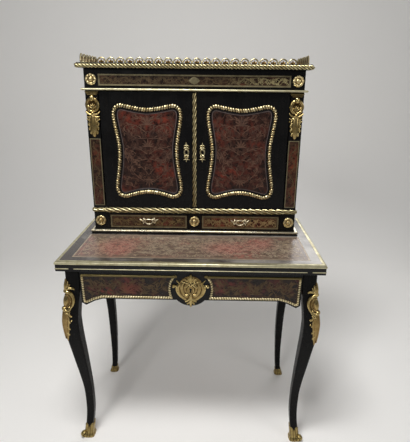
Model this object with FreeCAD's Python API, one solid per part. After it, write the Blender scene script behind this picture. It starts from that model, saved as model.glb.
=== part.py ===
import FreeCAD, Part
import math
import os

# Bonheur du jour: a writing table on four curved legs with a small two-door cabinet on its back half.
# Millimetres, +X to the right, +Y to the back, +Z up, origin on the floor under the middle.

os.makedirs("parts", exist_ok=True)
Vector = FreeCAD.Vector

# Table top: a wide board, and a narrower one on it that leaves a ledge for the brass strip
TABLE_HALF = 431.0
TABLE_FRONT = -238.0
TABLE_BACK = 240.0
TABLE_TOP = 738.0
TABLE_LEDGE = 727.0
TABLE_UNDER = 704.0
STRIP_HALF = 420.0
STRIP_FRONT = -227.0
STRIP_REACH = 13.0
LINE_LOW = 711.5
LINE_HIGH = 715.0
LINE_REACH = 1.5
LINE_BREAK_OUT = 388.0
LINE_BREAK_IN = 372.0
PANEL_HALF = 388.0
PANEL_FRONT = -201.0
PANEL_BACK = 8.0
PANEL_THICK = 3.0

# Legs, each section given as height, outward swing along the diagonal, width of the square
LEG_X = 389.5
LEG_Y = 189.0
REAR_LEG_Y = 180.0
LEG_CHAMFER = 0.09
FRONT_LEG = [
    (6.0, 0.0, 28.0), (50.0, -5.0, 26.5), (92.0, -9.5, 27.0), (136.0, -11.5, 27.5), (206.0, -10.5, 28.5),
    (273.0, -5.5, 33.0), (325.0, -0.5, 37.5), (382.0, 5.0, 42.0), (438.0, 10.5, 46.0), (487.0, 13.5, 48.0),
    (520.0, 13.5, 48.0), (574.0, 8.0, 47.5), (620.0, 2.5, 47.0), (660.0, 0.0, 47.0), (704.0, 0.0, 47.0),
]
REAR_LEG = [
    (6.0, -8.0, 22.0), (55.0, -15.0, 22.0), (136.0, -19.5, 24.0), (216.0, -21.0, 28.0), (293.0, -20.0, 30.5),
    (359.0, -16.5, 33.0), (450.0, -7.5, 39.0), (520.0, -1.5, 43.0), (600.0, 0.5, 46.0), (704.0, 0.0, 46.0),
]
FRONT_SHOE = [(0.0, 6.0, 44.0), (14.0, 2.0, 37.5), (34.0, -3.0, 31.5), (54.0, -5.4, 31.0)]
REAR_SHOE = [(0.0, -7.0, 32.0), (28.0, -11.2, 29.5)]
# Knee mounts, each section given as height, reach past the wood, side of the square
KNEE_MOUNT = [
    (432.0, 2.0, 10.0), (470.0, 6.0, 32.0), (510.0, 9.5, 42.0), (550.0, 9.0, 43.0), (600.0, 7.0, 38.0),
    (656.0, 3.0, 14.0),
]

# Aprons and the frieze drawer
POST_INNER = 366.0
POST_HALF_WIDE = 23.5
REAR_POST_HALF_WIDE = 23.0
APRON_LOW = 593.0
APRON_TIP = 569.0
APRON_THICK = 18.0
APRON_BACK_SET = 1.5
APRON_FRONT_TENON = 10.0
APRON_REAR_TENON = 3.0
DRAWER_FACE = -211.5
DRAWER_FRONT_THICK = 20.0
DRAWER_FRONT_HALF = 364.5
DRAWER_FRONT_TOP = 702.5
ROUNDEL_Z = 634.0
ROUNDEL_RADIUS = 62.0
BOX_HALF = 352.0
BOX_LOW = 605.0
BOX_HIGH = 683.0
BOX_BACK = 148.0
BOX_SIDE = 10.0
BOX_FLOOR_LOW = 609.0
BOX_FLOOR_HIGH = 615.0
RUNNER_TOP = 604.5
RUNNER_IN = 338.0
GUIDE_IN = 353.5
GUIDE_HIGH = 650.0
POST_GAP = 2.0
FRIEZE_PANEL_THICK = 2.0
FRIEZE_BORDER = 5.0
FRIEZE_BORDER_REACH = 3.0
CARTOUCHE_REACH = 6.0
CARTOUCHE_KEYHOLE_Z = 632.0
CARTOUCHE_KEYHOLE = 3.2
FRIEZE_LOCK = (35.0, 12.0, 648.0, 690.0)

# Right half of the drawer front's lower line, then of one marquetry panel
FRONT_LINE = [(DRAWER_FRONT_HALF, APRON_TIP + 9), (351.0, APRON_TIP), (337.0, APRON_TIP + 7),
              (320.0, APRON_TIP + 16), (294.0, APRON_LOW)]
PANEL_LINE = [
    (361.5, 682.0), (359.0, APRON_TIP + 13), (351.0, APRON_TIP + 7), (338.0, APRON_TIP + 13),
    (321.0, APRON_TIP + 21), (295.0, APRON_LOW + 5), (60.0, APRON_LOW + 5), (65.5, ROUNDEL_Z - 18),
    (67.5, ROUNDEL_Z), (64.0, ROUNDEL_Z + 22), (54.0, ROUNDEL_Z + 40), (44.0, 682.0),
]
CARTOUCHE_LINE = [
    (0.0, 687.0), (14.0, 682.0), (24.0, 670.0), (36.0, 662.0), (54.0, 656.0), (58.0, 645.0),
    (48.0, 634.0), (42.0, 622.0), (36.0, 604.0), (22.0, 588.0), (8.0, 574.0), (0.0, 570.0),
]

# Cabinet
FACE = 30.5
BACK = 224.5
BODY_HALF = 375.0
BOARD = 18.0
PLINTH_TOP = 757.0
PLINTH_BAND = 745.5
PLINTH_BRASS_TOP = 753.5
PLINTH_HALF = 378.0
PLINTH_REACH = 10.0
PLINTH_FOOT_REACH = 9.0
DECK_LOW = 820.0
DECK_HIGH = 838.0
POST_DEEP = 26.0
PILASTER_IN = 331.0
BLOCK_IN = 318.0
DIVIDER_HALF = 26.0
DIVIDER_BOARD = 9.0
HEAD_LOW = 1254.0
HEAD_HIGH = 1328.0
HEAD_THICK = 20.0
CORNICE_HIGH = 1345.0
CORNICE_HALF = 392.5
CORNICE_OVER = 17.0
ROPE_RADIUS = 8.0
WAIST_Z = 829.0
WAIST_RADIUS = 10.0
FRIEZE_LINE_LOW = 1255.5
FRIEZE_LINE_HIGH = 1263.5
FRIEZE_LINE_REACH = 8.0
PLAQUE_HALF = 327.0
PLAQUE_LOW = 1271.5
PLAQUE_HIGH = 1309.5
PLAQUE_REACH = 1.5
GALLERY_HALF = 381.0
GALLERY_HIGH = 1375.0
GALLERY_THICK = 2.0
GALLERY_SET_BACK = 6.0
GALLERY_SET_FRONT = 8.0
SHELF_LOW = 1040.0
SHELF_THICK = 14.0
SHELF_FRONT = FACE + 47.0
BACK_BOARD = 8.0
ROSETTE_RADIUS = 19.0
ROSETTE_REACH = 6.0
ROSETTE_X = 352.0
ROSETTE_HIGH_Z = 1292.0
ROSETTE_LOW_Z = 787.0
MOUNT_REACH = 11.0
MOUNT_RIM = 4.0
MOUNT_MID_Z = 1180.0
# Right half of a pilaster mount, from its flat top down to its tip
MOUNT_LINE = [
    (20.0, 1253.0), (24.0, 1243.0), (18.0, 1234.0), (26.0, 1216.0), (26.0, 1198.0), (20.0, 1184.0),
    (24.0, 1172.0), (22.0, 1150.0), (12.0, 1120.0), (0.0, 1097.0),
]

# Doors: each turns on two pins, and its outer edge is rounded about them
DOOR_LOW = 840.5
DOOR_HIGH = 1252.5
DOOR_THICK = 20.0
DOOR_EDGE_RADIUS = 19.5
DOOR_GAP = 0.6
HINGE_X = PILASTER_IN - DOOR_GAP - DOOR_EDGE_RADIUS
HINGE_Y = FACE + DOOR_THICK / 2
PIN_RADIUS = 3.0
PIN_PLAY = 0.05
PIN_IN_DOOR = 15.0
PIN_IN_FRAME = 10.0
MEETING_LEFT = -8.3
MEETING_RIGHT = -7.0
ASTRAGAL_RADIUS = 7.5
ASTRAGAL_X = 0.7
ASTRAGAL_LOW = 845.0
ASTRAGAL_HIGH = 1250.0
BORDER_X = 165.0
BORDER_Z = 1044.5
BORDER_WIDE = 15.0
BORDER_REACH = 5.0
BORDER_HALF_WIDE = 124.5
BORDER_HALF_HIGH = 169.5
DOOR_PANEL_THICK = 2.0
ESCUTCHEON_X = 28.5
ESCUTCHEON_Z = 1047.0
ESCUTCHEON_REACH = 3.0
ESCUTCHEON_KEYHOLE = 2.2
DOOR_LOCK = (2.0, 52.0, 11.0, 1026.0, 1068.0)

# Right half of a door border's outer line, from the top middle round to the bottom middle
BORDER_LINE = [
    (0.0, 155.5), (30.0, 158.5), (55.0, 163.0), (76.0, 167.5), (94.0, 169.5), (111.0, 162.5), (121.5, 148.5),
    (124.5, 127.0), (121.0, 97.0), (115.0, 61.0), (110.0, 26.0), (109.5, -10.0), (112.0, -41.0),
    (117.5, -80.0), (122.5, -110.0), (124.0, -136.0), (116.0, -157.0), (104.0, -165.5), (86.0, -169.5),
    (56.0, -161.5), (27.0, -154.5), (0.0, -152.0),
]
# Right half of a door escutcheon about its middle
ESCUTCHEON_LINE = [
    (0.0, 35.0), (5.0, 28.0), (10.0, 22.0), (6.0, 15.0), (10.5, 6.0), (10.5, -6.0), (6.0, -15.0),
    (10.0, -22.0), (5.0, -28.0), (0.0, -35.0),
]

# Small drawers and their handles
SMALL_IN = 27.5
SMALL_OUT = 316.5
SMALL_LOW = 758.0
SMALL_HIGH = 817.5
SMALL_FACE = FACE + 1.0
SMALL_FRONT_THICK = 16.0
SMALL_BOX_IN = 30.0
SMALL_BOX_OUT = 314.0
SMALL_BOX_HIGH = 812.0
SMALL_BOX_BACK = BACK - 20.0
SMALL_BOX_LOW = 759.5
SMALL_FLOOR_LOW = 761.5
SMALL_FLOOR_HIGH = 766.5
SMALL_SIDE = 8.0
SMALL_GUIDE_HIGH = 785.0
SMALL_GUIDE_GAP = 1.0
HANDLE_X = 170.5
HANDLE_Z = 795.0
BAIL_Y = SMALL_FACE - 8.0
BAIL_HALF = 12.0
BAIL_WIRE = 2.0
BAIL_PIN = 1.5
BAIL_PLAY = 0.08
BAIL_SIDE_GAP = 1.6
BAIL_BEND = [(BAIL_HALF, 0.0), (BAIL_HALF + 1.0, -6.0), (BAIL_HALF - 2.0, -12.5), (0.0, -17.0)]
HANDLE_POST = 3.5
HANDLE_POST_REACH = 4.0
LEAF_REACH = 4.0
LEAF_LINE = [(0.0, -8.0), (11.5, -1.0), (13.5, 8.0), (0.0, 4.0)]


def block(x0, x1, y0, y1, z0, z1):
    low = Vector(min(x0, x1), min(y0, y1), min(z0, z1))
    return Part.makeBox(abs(x1 - x0), abs(y1 - y0), abs(z1 - z0), low)


def mirrored(shape):
    return shape.mirror(Vector(0, 0, 0), Vector(1, 0, 0))


def both_halves(line):
    """A closed line from its right half, which starts and may end on the middle."""
    left = [(-x, z) for x, z in reversed(line) if x > 0]
    return line + left


def prism(corners, way):
    face = Part.Face(Part.makePolygon(corners + corners[:1]))
    return face.extrude(way)


def plan_prism(points, z0, z1):
    return prism([Vector(x, y, z0) for x, y in points], Vector(0, 0, z1 - z0))


def front_prism(points, y0, y1):
    return prism([Vector(x, y0, z) for x, z in points], Vector(0, y1 - y0, 0))


def side_prism(points, x0, x1):
    return prism([Vector(x0, y, z) for y, z in points], Vector(x1 - x0, 0, 0))


def upright(radius, x, y, z0, z1):
    return Part.makeCylinder(radius, z1 - z0, Vector(x, y, z0), Vector(0, 0, 1))


def forward_disc(radius, x, z, y0, y1):
    return Part.makeCylinder(radius, y1 - y0, Vector(x, y0, z), Vector(0, 1, 0))


def crossbar(radius, x0, x1, y, z):
    return Part.makeCylinder(radius, x1 - x0, Vector(x0, y, z), Vector(1, 0, 0))


def save(node, *solids):
    shape = solids[0] if len(solids) == 1 else Part.makeCompound(list(solids))
    for solid in shape.Solids:
        assert solid.isValid() and solid.Volume > 0, node
    shape.exportStep("parts/" + node + ".step")


def mitred_run(half, front, back, reach, z0, z1, half_round=False):
    """Three lengths of moulding, along the front and both sides, mitred at the front corners."""
    out = half + reach
    nose = front - reach
    long_bar = plan_prism([(-out, nose), (out, nose), (half, front), (-half, front)], z0, z1)
    right_bar = plan_prism([(out, nose), (out, back), (half, back), (half, front)], z0, z1)
    if half_round:
        mid = (z0 + z1) / 2
        deep = Part.makeCylinder(reach, back - nose, Vector(half, nose, mid), Vector(0, 1, 0))
        long_bar = long_bar.common(crossbar(reach, -out, out, front, mid)).Solids[0]
        right_bar = right_bar.common(deep).Solids[0]
    return long_bar, mirrored(right_bar), right_bar


def chamfered_square(x, y, z, side):
    h = side / 2
    c = side * LEG_CHAMFER
    ring = [(h, h - c), (h - c, h), (c - h, h), (-h, h - c), (-h, c - h), (c - h, -h), (h - c, -h), (h, c - h)]
    corners = [Vector(x + a, y + b, z) for a, b in ring]
    return Part.makePolygon(corners + corners[:1])


def leg_stack(sections, y, outward):
    """Loft through the sections of a right leg; the swing runs to the right and, by outward, front or back."""
    wires = [chamfered_square(LEG_X + swing, y + outward * swing, z, side) for z, swing, side in sections]
    return Part.makeLoft(wires, True, False)


def front_leg_at(z):
    for (z0, s0, w0), (z1, s1, w1) in zip(FRONT_LEG, FRONT_LEG[1:]):
        if z0 <= z <= z1:
            t = (z - z0) / (z1 - z0)
            return s0 + t * (s1 - s0), w0 + t * (w1 - w0)
    raise ValueError(z)


def largest(shape):
    return max(shape.Solids, key=lambda solid: solid.Volume)


# Table top, its edge and its panel
wide_board = block(-TABLE_HALF, TABLE_HALF, TABLE_FRONT, TABLE_BACK, TABLE_UNDER, TABLE_LEDGE)
narrow_board = block(-STRIP_HALF, STRIP_HALF, STRIP_FRONT, TABLE_BACK, TABLE_LEDGE, TABLE_TOP)
top_board = wide_board.fuse(narrow_board).removeSplitter()
top_panel = block(-PANEL_HALF, PANEL_HALF, PANEL_FRONT, PANEL_BACK, TABLE_TOP - PANEL_THICK, TABLE_TOP)
save("table_top", largest(top_board.cut(top_panel)))
save("table_panel", top_panel)
edge_bars = mitred_run(STRIP_HALF, STRIP_FRONT, TABLE_BACK, STRIP_REACH, TABLE_LEDGE, TABLE_TOP)
line_bars = mitred_run(TABLE_HALF, TABLE_FRONT, TABLE_BACK, LINE_REACH, LINE_LOW, LINE_HIGH)
long_line = line_bars[0]
line_break = block(LINE_BREAK_IN, LINE_BREAK_OUT, TABLE_FRONT - 5, TABLE_FRONT + 5, LINE_LOW, LINE_HIGH)
long_line = long_line.cut([line_break, mirrored(line_break)])
save("table_edge", *edge_bars, *long_line.Solids, *line_bars[1:])

# Legs with their shoes and knee mounts
front_leg = leg_stack(FRONT_LEG, -LEG_Y, -1)
rear_leg = leg_stack(REAR_LEG, REAR_LEG_Y, 1)
front_shoe = largest(leg_stack(FRONT_SHOE, -LEG_Y, -1).cut(front_leg))
rear_shoe = largest(leg_stack(REAR_SHOE, REAR_LEG_Y, 1).cut(rear_leg))
save("sabots", front_shoe, mirrored(front_shoe), rear_shoe, mirrored(rear_shoe))
knee_wires = []
for z, reach, side in KNEE_MOUNT:
    swing, width = front_leg_at(z)
    corner = swing + width / 2 + reach - side / 2
    knee_wires.append(chamfered_square(LEG_X + corner, -LEG_Y - corner, z, side))
knee = largest(Part.makeLoft(knee_wires, True, False).cut(front_leg))
save("knee_mounts", knee, mirrored(knee))

# Aprons, let into the legs, and the runners of the frieze drawer
front_post_back = -LEG_Y + POST_HALF_WIDE
rear_post_front = REAR_LEG_Y - REAR_POST_HALF_WIDE
apron_dip = [
    (0.0, TABLE_UNDER), (0.0, APRON_TIP + 8), (14.0, APRON_TIP), (40.0, APRON_LOW - 10), (72.0, APRON_LOW),
]
front_tenon = front_post_back - APRON_FRONT_TENON
rear_tenon = rear_post_front + APRON_REAR_TENON
apron_line = [(front_tenon + y, z) for y, z in apron_dip]
apron_line = apron_line + [(rear_tenon - y, z) for y, z in reversed(apron_dip)]
apron_out = LEG_X + REAR_POST_HALF_WIDE - APRON_BACK_SET
apron_in = apron_out - APRON_THICK
right_apron = side_prism(apron_line, apron_in, apron_out)
save("side_apron_right", right_apron)
save("side_apron_left", mirrored(right_apron))
back_out = REAR_LEG_Y + REAR_POST_HALF_WIDE - APRON_BACK_SET
back_apron = block(-POST_INNER, POST_INNER, back_out - APRON_THICK, back_out, APRON_LOW, TABLE_UNDER)
save("back_apron", back_apron)
front_leg = largest(front_leg.cut(right_apron))
rear_leg = largest(rear_leg.cut([right_apron, back_apron]))
save("leg_front_right", front_leg)
save("leg_front_left", mirrored(front_leg))
save("leg_rear_right", rear_leg)
save("leg_rear_left", mirrored(rear_leg))
run_front = front_post_back + POST_GAP
run_back = rear_post_front - POST_GAP
runner = block(RUNNER_IN, apron_in, run_front, run_back, APRON_LOW, RUNNER_TOP)
guide = block(GUIDE_IN, apron_in, run_front, run_back, RUNNER_TOP, GUIDE_HIGH)
save("drawer_runners", runner, guide, mirrored(runner), mirrored(guide))

# Frieze drawer: straight above, dipping at the ends and round the roundel below
drawer_inside = DRAWER_FACE + DRAWER_FRONT_THICK
roundel_reach = math.sqrt(ROUNDEL_RADIUS ** 2 - (ROUNDEL_Z - APRON_LOW) ** 2)
front_half = [(DRAWER_FRONT_HALF, DRAWER_FRONT_TOP)] + FRONT_LINE + [(roundel_reach - 2, APRON_LOW)]
front_board = front_prism(both_halves(front_half), DRAWER_FACE, drawer_inside)
roundel = forward_disc(ROUNDEL_RADIUS, 0, ROUNDEL_Z, DRAWER_FACE, drawer_inside)
below_middle = block(-POST_INNER, POST_INNER, DRAWER_FACE, drawer_inside, APRON_TIP - 10, ROUNDEL_Z)
roundel_low = roundel.common(below_middle)
front_board = front_board.fuse(roundel_low).removeSplitter()
frieze_panel = front_prism(PANEL_LINE, DRAWER_FACE, DRAWER_FACE + FRIEZE_PANEL_THICK)
panel_corners = [Vector(x, DRAWER_FACE, z) for x, z in PANEL_LINE]
panel_face = Part.Face(Part.makePolygon(panel_corners + panel_corners[:1]))
inner_line = panel_face.makeOffset2D(-FRIEZE_BORDER, 0, False, False, True)
ring = panel_face.cut(Part.Face(inner_line.Wires[0]))
frieze_border = largest(ring.extrude(Vector(0, -FRIEZE_BORDER_REACH, 0)))
pockets = Part.makeCompound([frieze_panel, mirrored(frieze_panel)])
save("frieze_drawer_front", largest(front_board.cut(pockets)))
save("frieze_drawer_panels", frieze_panel, mirrored(frieze_panel))
save("frieze_drawer_borders", frieze_border, mirrored(frieze_border))
clear_half = BOX_HALF - BOX_SIDE
box_side = block(clear_half, BOX_HALF, drawer_inside, BOX_BACK, BOX_LOW, BOX_HIGH)
box_back = block(-clear_half, clear_half, BOX_BACK - BOX_SIDE, BOX_BACK, BOX_LOW, BOX_HIGH)
box_floor = block(-clear_half, clear_half, drawer_inside, BOX_BACK - BOX_SIDE, BOX_FLOOR_LOW, BOX_FLOOR_HIGH)
save("frieze_drawer_box", box_side, mirrored(box_side), box_back, box_floor)
lock_half, lock_deep, lock_low, lock_high = FRIEZE_LOCK
lock_back = drawer_inside + lock_deep
save("frieze_drawer_lock", block(-lock_half, lock_half, drawer_inside, lock_back, lock_low, lock_high))
cartouche = front_prism(both_halves(CARTOUCHE_LINE), DRAWER_FACE - CARTOUCHE_REACH, DRAWER_FACE)
keyhole = forward_disc(CARTOUCHE_KEYHOLE, 0, CARTOUCHE_KEYHOLE_Z, DRAWER_FACE - CARTOUCHE_REACH, DRAWER_FACE)
save("frieze_drawer_escutcheon", largest(cartouche.cut(keyhole)))

# Cabinet plinth and the storey of small drawers
foot_half = PLINTH_HALF + PLINTH_FOOT_REACH
plinth_front = FACE - 3
plinth_low = block(-foot_half, foot_half, plinth_front - PLINTH_FOOT_REACH, BACK, TABLE_TOP, PLINTH_BAND)
plinth_high = block(-PLINTH_HALF, PLINTH_HALF, plinth_front, BACK, PLINTH_BAND, PLINTH_TOP)
save("cabinet_base", plinth_low.fuse(plinth_high).removeSplitter())
plinth_bars = mitred_run(PLINTH_HALF, plinth_front, BACK, PLINTH_REACH, PLINTH_BAND, PLINTH_BRASS_TOP)
save("plinth_moulding", *plinth_bars)
post_back = FACE + POST_DEEP
inside_back = BACK - BACK_BOARD
inside_half = BODY_HALF - BOARD
corner_block = block(BLOCK_IN, BODY_HALF, FACE, post_back, PLINTH_TOP, DECK_LOW)
save("corner_blocks", corner_block, mirrored(corner_block))
divider_block = block(-DIVIDER_HALF, DIVIDER_HALF, FACE, post_back, PLINTH_TOP, DECK_LOW)
divider_board = block(-DIVIDER_BOARD, DIVIDER_BOARD, post_back, inside_back, PLINTH_TOP, DECK_LOW)
save("drawer_divider", divider_block, divider_board)
guide_out = SMALL_BOX_OUT + SMALL_GUIDE_GAP
guide_in = SMALL_BOX_IN - SMALL_GUIDE_GAP
outer_guide = block(guide_out, inside_half, post_back, inside_back, PLINTH_TOP, SMALL_GUIDE_HIGH)
inner_guide = block(DIVIDER_BOARD, guide_in, post_back, inside_back, PLINTH_TOP, SMALL_GUIDE_HIGH)
save("small_drawer_guides", outer_guide, inner_guide, mirrored(outer_guide), mirrored(inner_guide))

# Cabinet sides, back, deck, shelf, head and pilasters
cabinet_side = block(inside_half, BODY_HALF, post_back, BACK, PLINTH_TOP, HEAD_HIGH)
save("cabinet_side_right", cabinet_side)
save("cabinet_side_left", mirrored(cabinet_side))
save("cabinet_back", block(-inside_half, inside_half, inside_back, BACK, PLINTH_TOP, HEAD_HIGH))
deck_front = block(-BODY_HALF, BODY_HALF, FACE, post_back, DECK_LOW, DECK_HIGH)
deck_rest = block(-inside_half, inside_half, post_back, inside_back, DECK_LOW, DECK_HIGH)
deck = deck_front.fuse(deck_rest).removeSplitter()
head_board = block(-BODY_HALF, BODY_HALF, FACE, FACE + HEAD_THICK, HEAD_LOW, HEAD_HIGH)
head_end = block(PILASTER_IN, BODY_HALF, FACE + HEAD_THICK, post_back, HEAD_LOW, HEAD_HIGH)
head = head_board.fuse([head_end, mirrored(head_end)]).removeSplitter()
seat = PIN_RADIUS + PIN_PLAY
for side in (-1, 1):
    deck = deck.cut(upright(seat, side * HINGE_X, HINGE_Y, DECK_HIGH - PIN_IN_FRAME - 1, DECK_HIGH))
    head = head.cut(upright(seat, side * HINGE_X, HINGE_Y, HEAD_LOW, HEAD_LOW + PIN_IN_FRAME + 1))
save("drawer_deck", largest(deck))
save("cabinet_head", largest(head))
save("shelf", block(-inside_half, inside_half, SHELF_FRONT, inside_back, SHELF_LOW, SHELF_LOW + SHELF_THICK))
pilaster = block(PILASTER_IN, BODY_HALF, FACE, post_back, DECK_HIGH, HEAD_LOW)
save("pilaster_right", pilaster)
save("pilaster_left", mirrored(pilaster))

# Brass on the cabinet: ropes, mouldings, plaque, gallery, rosettes and pilaster mounts
waist = mitred_run(BODY_HALF, FACE, BACK, ROPE_RADIUS, WAIST_Z - ROPE_RADIUS, WAIST_Z + ROPE_RADIUS, True)
waist_low = WAIST_Z - WAIST_RADIUS
waist_high = WAIST_Z + WAIST_RADIUS
between = block(-PILASTER_IN, PILASTER_IN, FACE - WAIST_RADIUS, FACE, waist_low, waist_high)
waist_middle = crossbar(WAIST_RADIUS, -PILASTER_IN + 0.5, PILASTER_IN - 0.5, FACE, WAIST_Z).common(between)
save("waist_rope", largest(waist_middle), *waist[0].cut(between).Solids, *waist[1:])
frieze_bars = mitred_run(BODY_HALF, FACE, BACK, FRIEZE_LINE_REACH, FRIEZE_LINE_LOW, FRIEZE_LINE_HIGH)
save("frieze_moulding", *frieze_bars)
save("frieze_plaque", block(-PLAQUE_HALF, PLAQUE_HALF, FACE - PLAQUE_REACH, FACE, PLAQUE_LOW, PLAQUE_HIGH))
cornice_front = FACE - CORNICE_OVER
save("cornice", block(-CORNICE_HALF, CORNICE_HALF, cornice_front, BACK, HEAD_HIGH, CORNICE_HIGH))
rope_low = (HEAD_HIGH + CORNICE_HIGH) / 2 - ROPE_RADIUS
rope_high = rope_low + 2 * ROPE_RADIUS
save("cornice_rope", *mitred_run(CORNICE_HALF, cornice_front, BACK, ROPE_RADIUS, rope_low, rope_high, True))
gallery_y = BACK - GALLERY_SET_BACK
gallery_in = GALLERY_HALF - GALLERY_THICK
gallery_rear = gallery_y + GALLERY_THICK
gallery_front = FACE - GALLERY_SET_FRONT
gallery_back = block(-GALLERY_HALF, GALLERY_HALF, gallery_y, gallery_rear, CORNICE_HIGH, GALLERY_HIGH)
gallery_side = block(gallery_in, GALLERY_HALF, gallery_front, gallery_y, CORNICE_HIGH, GALLERY_HIGH)
save("gallery", gallery_back, gallery_side, mirrored(gallery_side))
rosette_middles = [(-ROSETTE_X, ROSETTE_HIGH_Z), (ROSETTE_X, ROSETTE_HIGH_Z), (-ROSETTE_X, ROSETTE_LOW_Z),
                   (0.0, ROSETTE_LOW_Z), (ROSETTE_X, ROSETTE_LOW_Z)]
save("rosettes", *[forward_disc(ROSETTE_RADIUS, x, z, FACE - ROSETTE_REACH, FACE) for x, z in rosette_middles])
rim_line = [(ROSETTE_X + x, z) for x, z in both_halves(MOUNT_LINE)]
crown_line = [(ROSETTE_X + 0.6 * x, MOUNT_MID_Z + 0.85 * (z - MOUNT_MID_Z)) for x, z in both_halves(MOUNT_LINE)]
mount_rim = front_prism(rim_line, FACE - MOUNT_RIM, FACE)
mount_crown = front_prism(crown_line, FACE - MOUNT_REACH, FACE - MOUNT_RIM)
pilaster_mount = mount_rim.fuse(mount_crown).removeSplitter()
save("pilaster_mounts", pilaster_mount, mirrored(pilaster_mount))


def closed_curve(wide, high):
    """Door border line scaled about its middle, as one smooth closed curve on the cabinet's face."""
    points = [Vector(BORDER_X + wide * x, FACE, BORDER_Z + high * z) for x, z in both_halves(BORDER_LINE)]
    curve = Part.BSplineCurve()
    curve.interpolate(points, PeriodicFlag=True)
    return Part.Face(Part.Wire(curve.toShape()))


def door_board(meeting_x):
    """Right-hand door board: flat faces, outer edge rounded about the hinge axis."""
    door_back = FACE + DOOR_THICK
    flat = block(meeting_x, HINGE_X, FACE, door_back, DOOR_LOW, DOOR_HIGH)
    tail = upright(DOOR_EDGE_RADIUS, HINGE_X, HINGE_Y, DOOR_LOW, DOOR_HIGH)
    tail = tail.common(block(HINGE_X, PILASTER_IN, FACE, door_back, DOOR_LOW, DOOR_HIGH))
    board = flat.fuse(tail).removeSplitter()
    board = board.cut(upright(PIN_RADIUS, HINGE_X, HINGE_Y, DOOR_LOW, DOOR_LOW + PIN_IN_DOOR))
    board = board.cut(upright(PIN_RADIUS, HINGE_X, HINGE_Y, DOOR_HIGH - PIN_IN_DOOR, DOOR_HIGH))
    return largest(board.cut(door_panel))


# Doors, drawn on the right and mirrored where both are alike
inside_curve = closed_curve(1 - BORDER_WIDE / BORDER_HALF_WIDE, 1 - BORDER_WIDE / BORDER_HALF_HIGH)
door_border = largest(closed_curve(1, 1).cut(inside_curve).extrude(Vector(0, -BORDER_REACH, 0)))
door_panel = inside_curve.extrude(Vector(0, DOOR_PANEL_THICK, 0))
low_pin = upright(PIN_RADIUS, HINGE_X, HINGE_Y, DECK_HIGH - PIN_IN_FRAME, DOOR_LOW + PIN_IN_DOOR)
high_pin = upright(PIN_RADIUS, HINGE_X, HINGE_Y, DOOR_HIGH - PIN_IN_DOOR, HEAD_LOW + PIN_IN_FRAME)
plate_line = [(ESCUTCHEON_X + x, ESCUTCHEON_Z + z) for x, z in both_halves(ESCUTCHEON_LINE)]
plate = front_prism(plate_line, FACE - ESCUTCHEON_REACH, FACE)
plate_hole = forward_disc(ESCUTCHEON_KEYHOLE, ESCUTCHEON_X, ESCUTCHEON_Z, FACE - ESCUTCHEON_REACH, FACE)
plate = largest(plate.cut(plate_hole))
save("door_right", door_board(MEETING_RIGHT))
save("door_left", mirrored(door_board(-MEETING_LEFT)))
for node, piece in (("panel", door_panel), ("border", door_border), ("escutcheon", plate)):
    save("door_right_" + node, piece)
    save("door_left_" + node, mirrored(piece))
save("door_right_pivots", low_pin, high_pin)
save("door_left_pivots", mirrored(low_pin), mirrored(high_pin))
rope = upright(ASTRAGAL_RADIUS, ASTRAGAL_X, FACE, ASTRAGAL_LOW, ASTRAGAL_HIGH)
in_front = block(-BLOCK_IN, BLOCK_IN, FACE - ASTRAGAL_RADIUS, FACE, ASTRAGAL_LOW, ASTRAGAL_HIGH)
save("astragal", largest(rope.common(in_front)))
lock_in, lock_out, lock_deep, lock_low, lock_high = DOOR_LOCK
door_inside = FACE + DOOR_THICK
save("door_lock", block(lock_in, lock_out, door_inside, door_inside + lock_deep, lock_low, lock_high))

# Small drawers and their bail handles, drawn on the right and mirrored
small_inside = SMALL_FACE + SMALL_FRONT_THICK
small_front = block(SMALL_IN, SMALL_OUT, SMALL_FACE, small_inside, SMALL_LOW, SMALL_HIGH)
clear_in = SMALL_BOX_IN + SMALL_SIDE
clear_out = SMALL_BOX_OUT - SMALL_SIDE
clear_back = SMALL_BOX_BACK - SMALL_SIDE
small_box = [
    block(clear_out, SMALL_BOX_OUT, small_inside, SMALL_BOX_BACK, SMALL_BOX_LOW, SMALL_BOX_HIGH),
    block(SMALL_BOX_IN, clear_in, small_inside, SMALL_BOX_BACK, SMALL_BOX_LOW, SMALL_BOX_HIGH),
    block(clear_in, clear_out, clear_back, SMALL_BOX_BACK, SMALL_BOX_LOW, SMALL_BOX_HIGH),
    block(clear_in, clear_out, small_inside, clear_back, SMALL_FLOOR_LOW, SMALL_FLOOR_HIGH),
]
handle = []
post_middle = BAIL_HALF + BAIL_WIRE + BAIL_SIDE_GAP + HANDLE_POST
for side in (-1, 1):
    post_x = HANDLE_X + side * post_middle
    post = block(post_x - HANDLE_POST, post_x + HANDLE_POST, BAIL_Y - HANDLE_POST_REACH, SMALL_FACE,
                 HANDLE_Z - HANDLE_POST_REACH, HANDLE_Z + HANDLE_POST_REACH)
    pin_seat = crossbar(BAIL_PIN + BAIL_PLAY, post_x - HANDLE_POST, post_x + HANDLE_POST, BAIL_Y, HANDLE_Z)
    post = post.cut(pin_seat)
    leaf_root = post_x + side * HANDLE_POST
    leaf_line = [(leaf_root + side * x, HANDLE_Z + z) for x, z in LEAF_LINE]
    leaf = front_prism(leaf_line, SMALL_FACE - LEAF_REACH, SMALL_FACE)
    handle = handle + [largest(post), leaf]
bend = BAIL_BEND + [(-x, z) for x, z in reversed(BAIL_BEND[:-1])]
bail_curve = Part.BSplineCurve()
bail_curve.interpolate([Vector(HANDLE_X + x, BAIL_Y, HANDLE_Z + z) for x, z in bend])
bail_start = bail_curve.value(bail_curve.FirstParameter)
bail_way = bail_curve.tangent(bail_curve.FirstParameter)[0]
wire_ring = Part.Wire(Part.makeCircle(BAIL_WIRE, bail_start, bail_way))
bail = Part.Wire(bail_curve.toShape()).makePipeShell([wire_ring], True, True)
pin_end = post_middle + HANDLE_POST - 1
bail_pieces = []
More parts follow.
